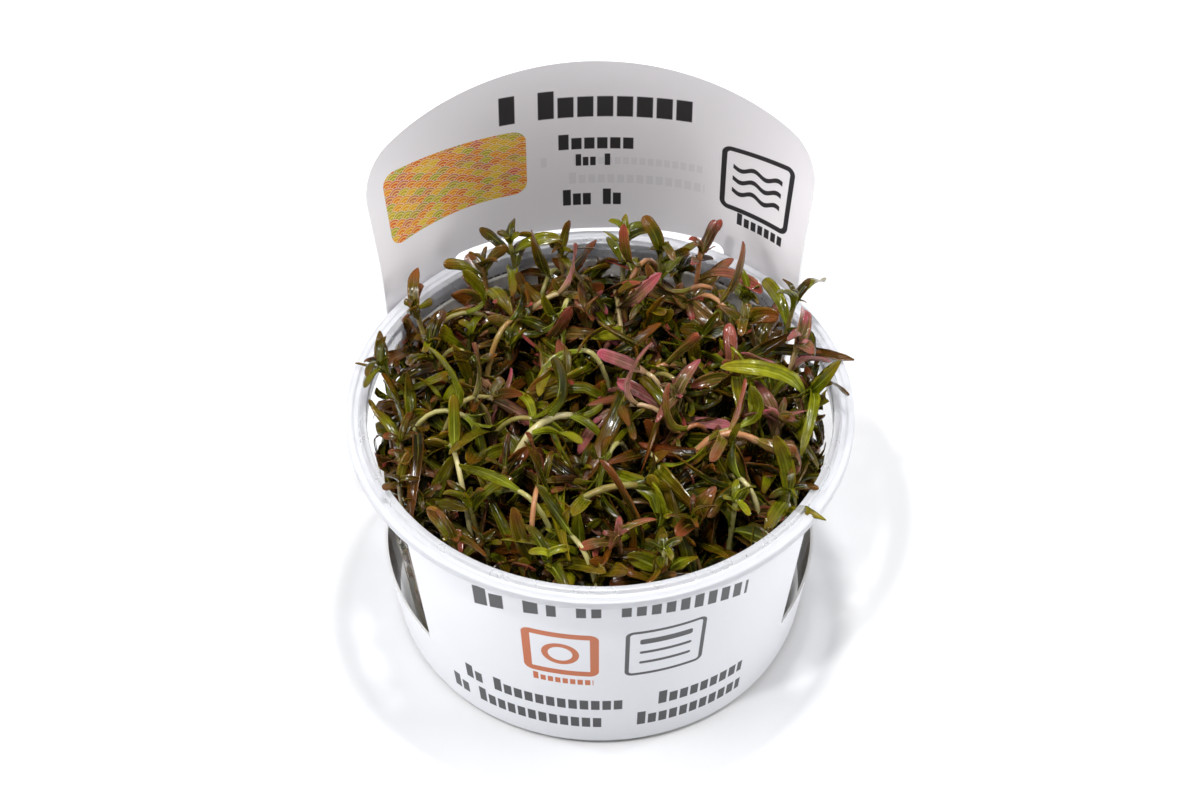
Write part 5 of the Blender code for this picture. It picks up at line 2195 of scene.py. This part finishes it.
STEM_FINISHES = {
    Tone.OLIVE: StemFinish("olive stem", ((0.09, 0.085, 0.014), (0.22, 0.19, 0.05), (0.24, 0.13, 0.036))),
    Tone.BROWN: StemFinish("brown stem", ((0.11, 0.06, 0.014), (0.28, 0.15, 0.048), (0.26, 0.21, 0.07))),
    Tone.RED: StemFinish("orange stem", ((0.3, 0.1, 0.036), (0.4, 0.2, 0.09), (0.33, 0.12, 0.046))),
    Tone.PINK: StemFinish("pink stem", ((0.36, 0.2, 0.1), (0.42, 0.29, 0.15), (0.26, 0.22, 0.07))),
    Tone.LIME: StemFinish("straw stem", ((0.26, 0.25, 0.06), (0.42, 0.37, 0.15), (0.46, 0.4, 0.2))),
}


@dataclass
class RotalaPlants:
    """All the sprigs in the cup."""

    cup: Cup
    main_width: float = 1.35 * MM
    arched_width: float = 1.9 * MM
    under_width: float = 1.2 * MM
    shoot_width: float = 1.35 * MM
    most_faces: int = 60000
    tolerance: float = 2.5 * MM

    def build(self) -> None:
        """Grows, dresses and hands over every sprig."""
        materials = {tone: [LEAF_FINISHES[tone].make(), STEM_FINISHES[tone].make()] for tone in Tone}
        grower = Grower(self.cup)
        skin = SprigSkin(grower)
        for number, sprig in enumerate(grower.grow_main(), start=1):
            node = f"sprig_{number:02d}"
            store = MeshStore()
            arched = len(sprig.path) == 4 and number <= len(STANDING_SPRIGS)
            width = self.arched_width if arched else self.main_width
            skin.add_sprig(store, sprig, width, Chances(number))
            piece = store.make(f"rotala_{node}", materials[sprig.plan.tone])
            hand_over(piece, sprig.plan.tone.value, node)
            self.compare(piece, node)
        self.build_undergrowth(grower, materials)

    def compare(self, piece: Piece, node: str) -> None:
        """Warns where a sprig doesn't lie in the place of its node."""
        low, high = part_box(node)
        points = np.array([vertex.co for vertex in piece.data.vertices])
        misfit = max(np.abs(points.min(axis=0) - low).max(), np.abs(points.max(axis=0) - high).max())
        if misfit > self.tolerance:
            log.warning("%s lies %.1f mm off its node", piece.name, misfit / MM)

    def build_undergrowth(self, grower: Grower, materials: dict[Tone, list[Material]]) -> None:
        """Grows the smaller sprigs and joins those of a tone in one piece.

        Args:
            grower: The grower, with the main sprigs in place.
            materials: Leaf and stem material of each tone.
        """
        stores: dict[Tone, list[MeshStore]] = {tone: [MeshStore()] for tone in Tone}
        skin = SprigSkin(
            grower,
            stations=9,
            stem_sides=6,
            stem_stations=15,
            slimness=0.97,
            bow=0.38,
            curl=0.8,
            sway=0.46,
            twist=110.0,
            top_places=(-1.0, -0.5, 0.0, 0.5, 1.0),
            under_places=(0.6, 0.0, -0.6),
        )
        under = UndergrowthGrower(self.cup, filled=grower.filled, tips=grower.tips)
        for number, sprig in enumerate(under.grow()):
            tone_stores = stores[sprig.plan.tone]
            if len(tone_stores[-1].faces) > self.most_faces:
                tone_stores.append(MeshStore())
            width = self.shoot_width if len(sprig.plan.nodes) == 2 else self.under_width
            skin.add_sprig(tone_stores[-1], sprig, width, Chances(1000 + number))
        for tone, tone_stores in stores.items():
            for number, store in enumerate(tone_stores, start=1):
                if store.faces:
                    piece = store.make(f"undergrowth_{tone.name.lower()}_{number}", materials[tone])
                    hand_over(piece, tone.value)


@dataclass(frozen=True)
class FloorFinish(Finish):
    """Pale paper with a faint cloud of tone."""

    name: str
    shades: tuple[Triple, ...] = ((0.74, 0.75, 0.77), (0.78, 0.78, 0.79))
    cloud_size: float = 60.0

    def values(self, sketch: ShaderSketch) -> dict[str, object]:
        """A matt surface that drifts between two shades.

        Args:
            sketch: The material's tree.

        Returns:
            Values for the shader.
        """
        cloud = mottled(sketch, self.cloud_size, 2.0, 0.5)
        return {"Base Color": sketch.blend(cloud, *self.shades), "Roughness": 0.6}


def stand(piece: Piece, place: Vector, way: Vector) -> None:
    """Puts a light or camera in its place.

    Args:
        piece: The light or camera.
        place: Where it stands.
        way: The direction in which it looks.
    """
    piece.location = place
    piece.rotation_mode = "QUATERNION"
    piece.rotation_quaternion = way.to_track_quat("-Z", "Y")
    bpy.context.scene.collection.objects.link(piece)


@dataclass(frozen=True)
class Lamp:
    """A square light that looks at the cup, which gloss can be kept from showing. Metres, watts."""

    name: str
    place: Triple
    size: float
    energy: float
    glossy: bool = True
    target_height: float = 0.05

    def build(self) -> None:
        """Adds the light."""
        data = bpy.data.lights.new(self.name, "AREA")
        data.size = self.size
        data.energy = self.energy
        light = bpy.data.objects.new(self.name, data)
        light.visible_glossy = self.glossy
        stand(light, Vector(self.place), UP * self.target_height - Vector(self.place))


@dataclass
class Studio:
    """Floor, light and camera. Metres, degrees."""

    target_height: float = 0.056
    azimuth: float = -3.0
    elevation: float = 47.0
    distance: float = 0.8
    lens: float = 121.0
    aim_rise: float = 0.0015
    floor_size: float = 6.0
    lamps: tuple[Lamp, ...] = (
        Lamp("left softbox", (-0.78, -0.15, 0.5), 0.45, 5.7, False),
        Lamp("right softbox", (0.82, -0.1, 0.46), 0.45, 5.1, False),
        Lamp("top softbox", (0.04, 0.06, 0.95), 0.09, 5.0),
        Lamp("front lamp", (-0.18, -0.3, 0.8), 0.04, 2.5),
        Lamp("left lamp", (-0.6, 0.1, 0.62), 0.05, 1.4),
        Lamp("right lamp", (0.6, 0.12, 0.62), 0.05, 1.4),
    )

    def build(self) -> None:
        """Builds the floor, the lights and the camera."""
        self.add_floor()
        self.add_world()
        for lamp in self.lamps:
            lamp.build()
        self.add_camera()

    def add_floor(self) -> None:
        """Adds the pale floor."""
        half = self.floor_size / 2.0
        mesh = bpy.data.meshes.new("floor")
        corners = [(-half, -half, 0.0), (half, -half, 0.0), (half, half, 0.0), (-half, half, 0.0)]
        mesh.from_pydata(corners, [], [(0, 1, 2, 3)])
        link_piece("floor", mesh, [FloorFinish("pale floor").make()])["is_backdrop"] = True

    @staticmethod
    def add_world() -> None:
        """Adds a plain bright surround."""
        world = bpy.data.worlds.new("studio")
        world.use_nodes = True
        world.node_tree.nodes["Background"].inputs["Color"].default_value = (1.0, 0.98, 0.96, 1.0)
        world.node_tree.nodes["Background"].inputs["Strength"].default_value = 0.14
        bpy.context.scene.world = world
        bpy.context.scene.view_settings.view_transform = "Standard"

    def add_camera(self) -> None:
        """Adds the camera at the photograph's angle."""
        turn, rise = math.radians(self.azimuth), math.radians(self.elevation)
        back = Vector((math.sin(turn) * math.cos(rise), -math.cos(turn) * math.cos(rise), math.sin(rise)))
        aim = UP * self.target_height + back.cross(level(turn)) * self.aim_rise
        data = bpy.data.cameras.new("camera")
        data.lens = self.lens
        data.clip_start = 0.01
        camera = bpy.data.objects.new("camera", data)
        stand(camera, aim + back * self.distance, -back)
        bpy.context.scene.camera = camera


def write_sizes() -> None:
    """Turns the CAD model's box and the visual model's box into JSON text, which is then dropped.
    """
    boxes = {"cad": cad_bounds, "visual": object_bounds()}
    json.dumps({name: [list(corner) for corner in box] for name, box in boxes.items()})


def main() -> None:
    """Builds everything in order."""
    logging.basicConfig(level=logging.INFO, format="%(levelname)s %(message)s")
    Studio().build()
    cup = Cup()
    for part in (cup, CultureGel(cup), CardSleeve(cup), RotalaPlants(cup)):
        part.build()
    write_sizes()


if __name__ == "__main__":
    main()
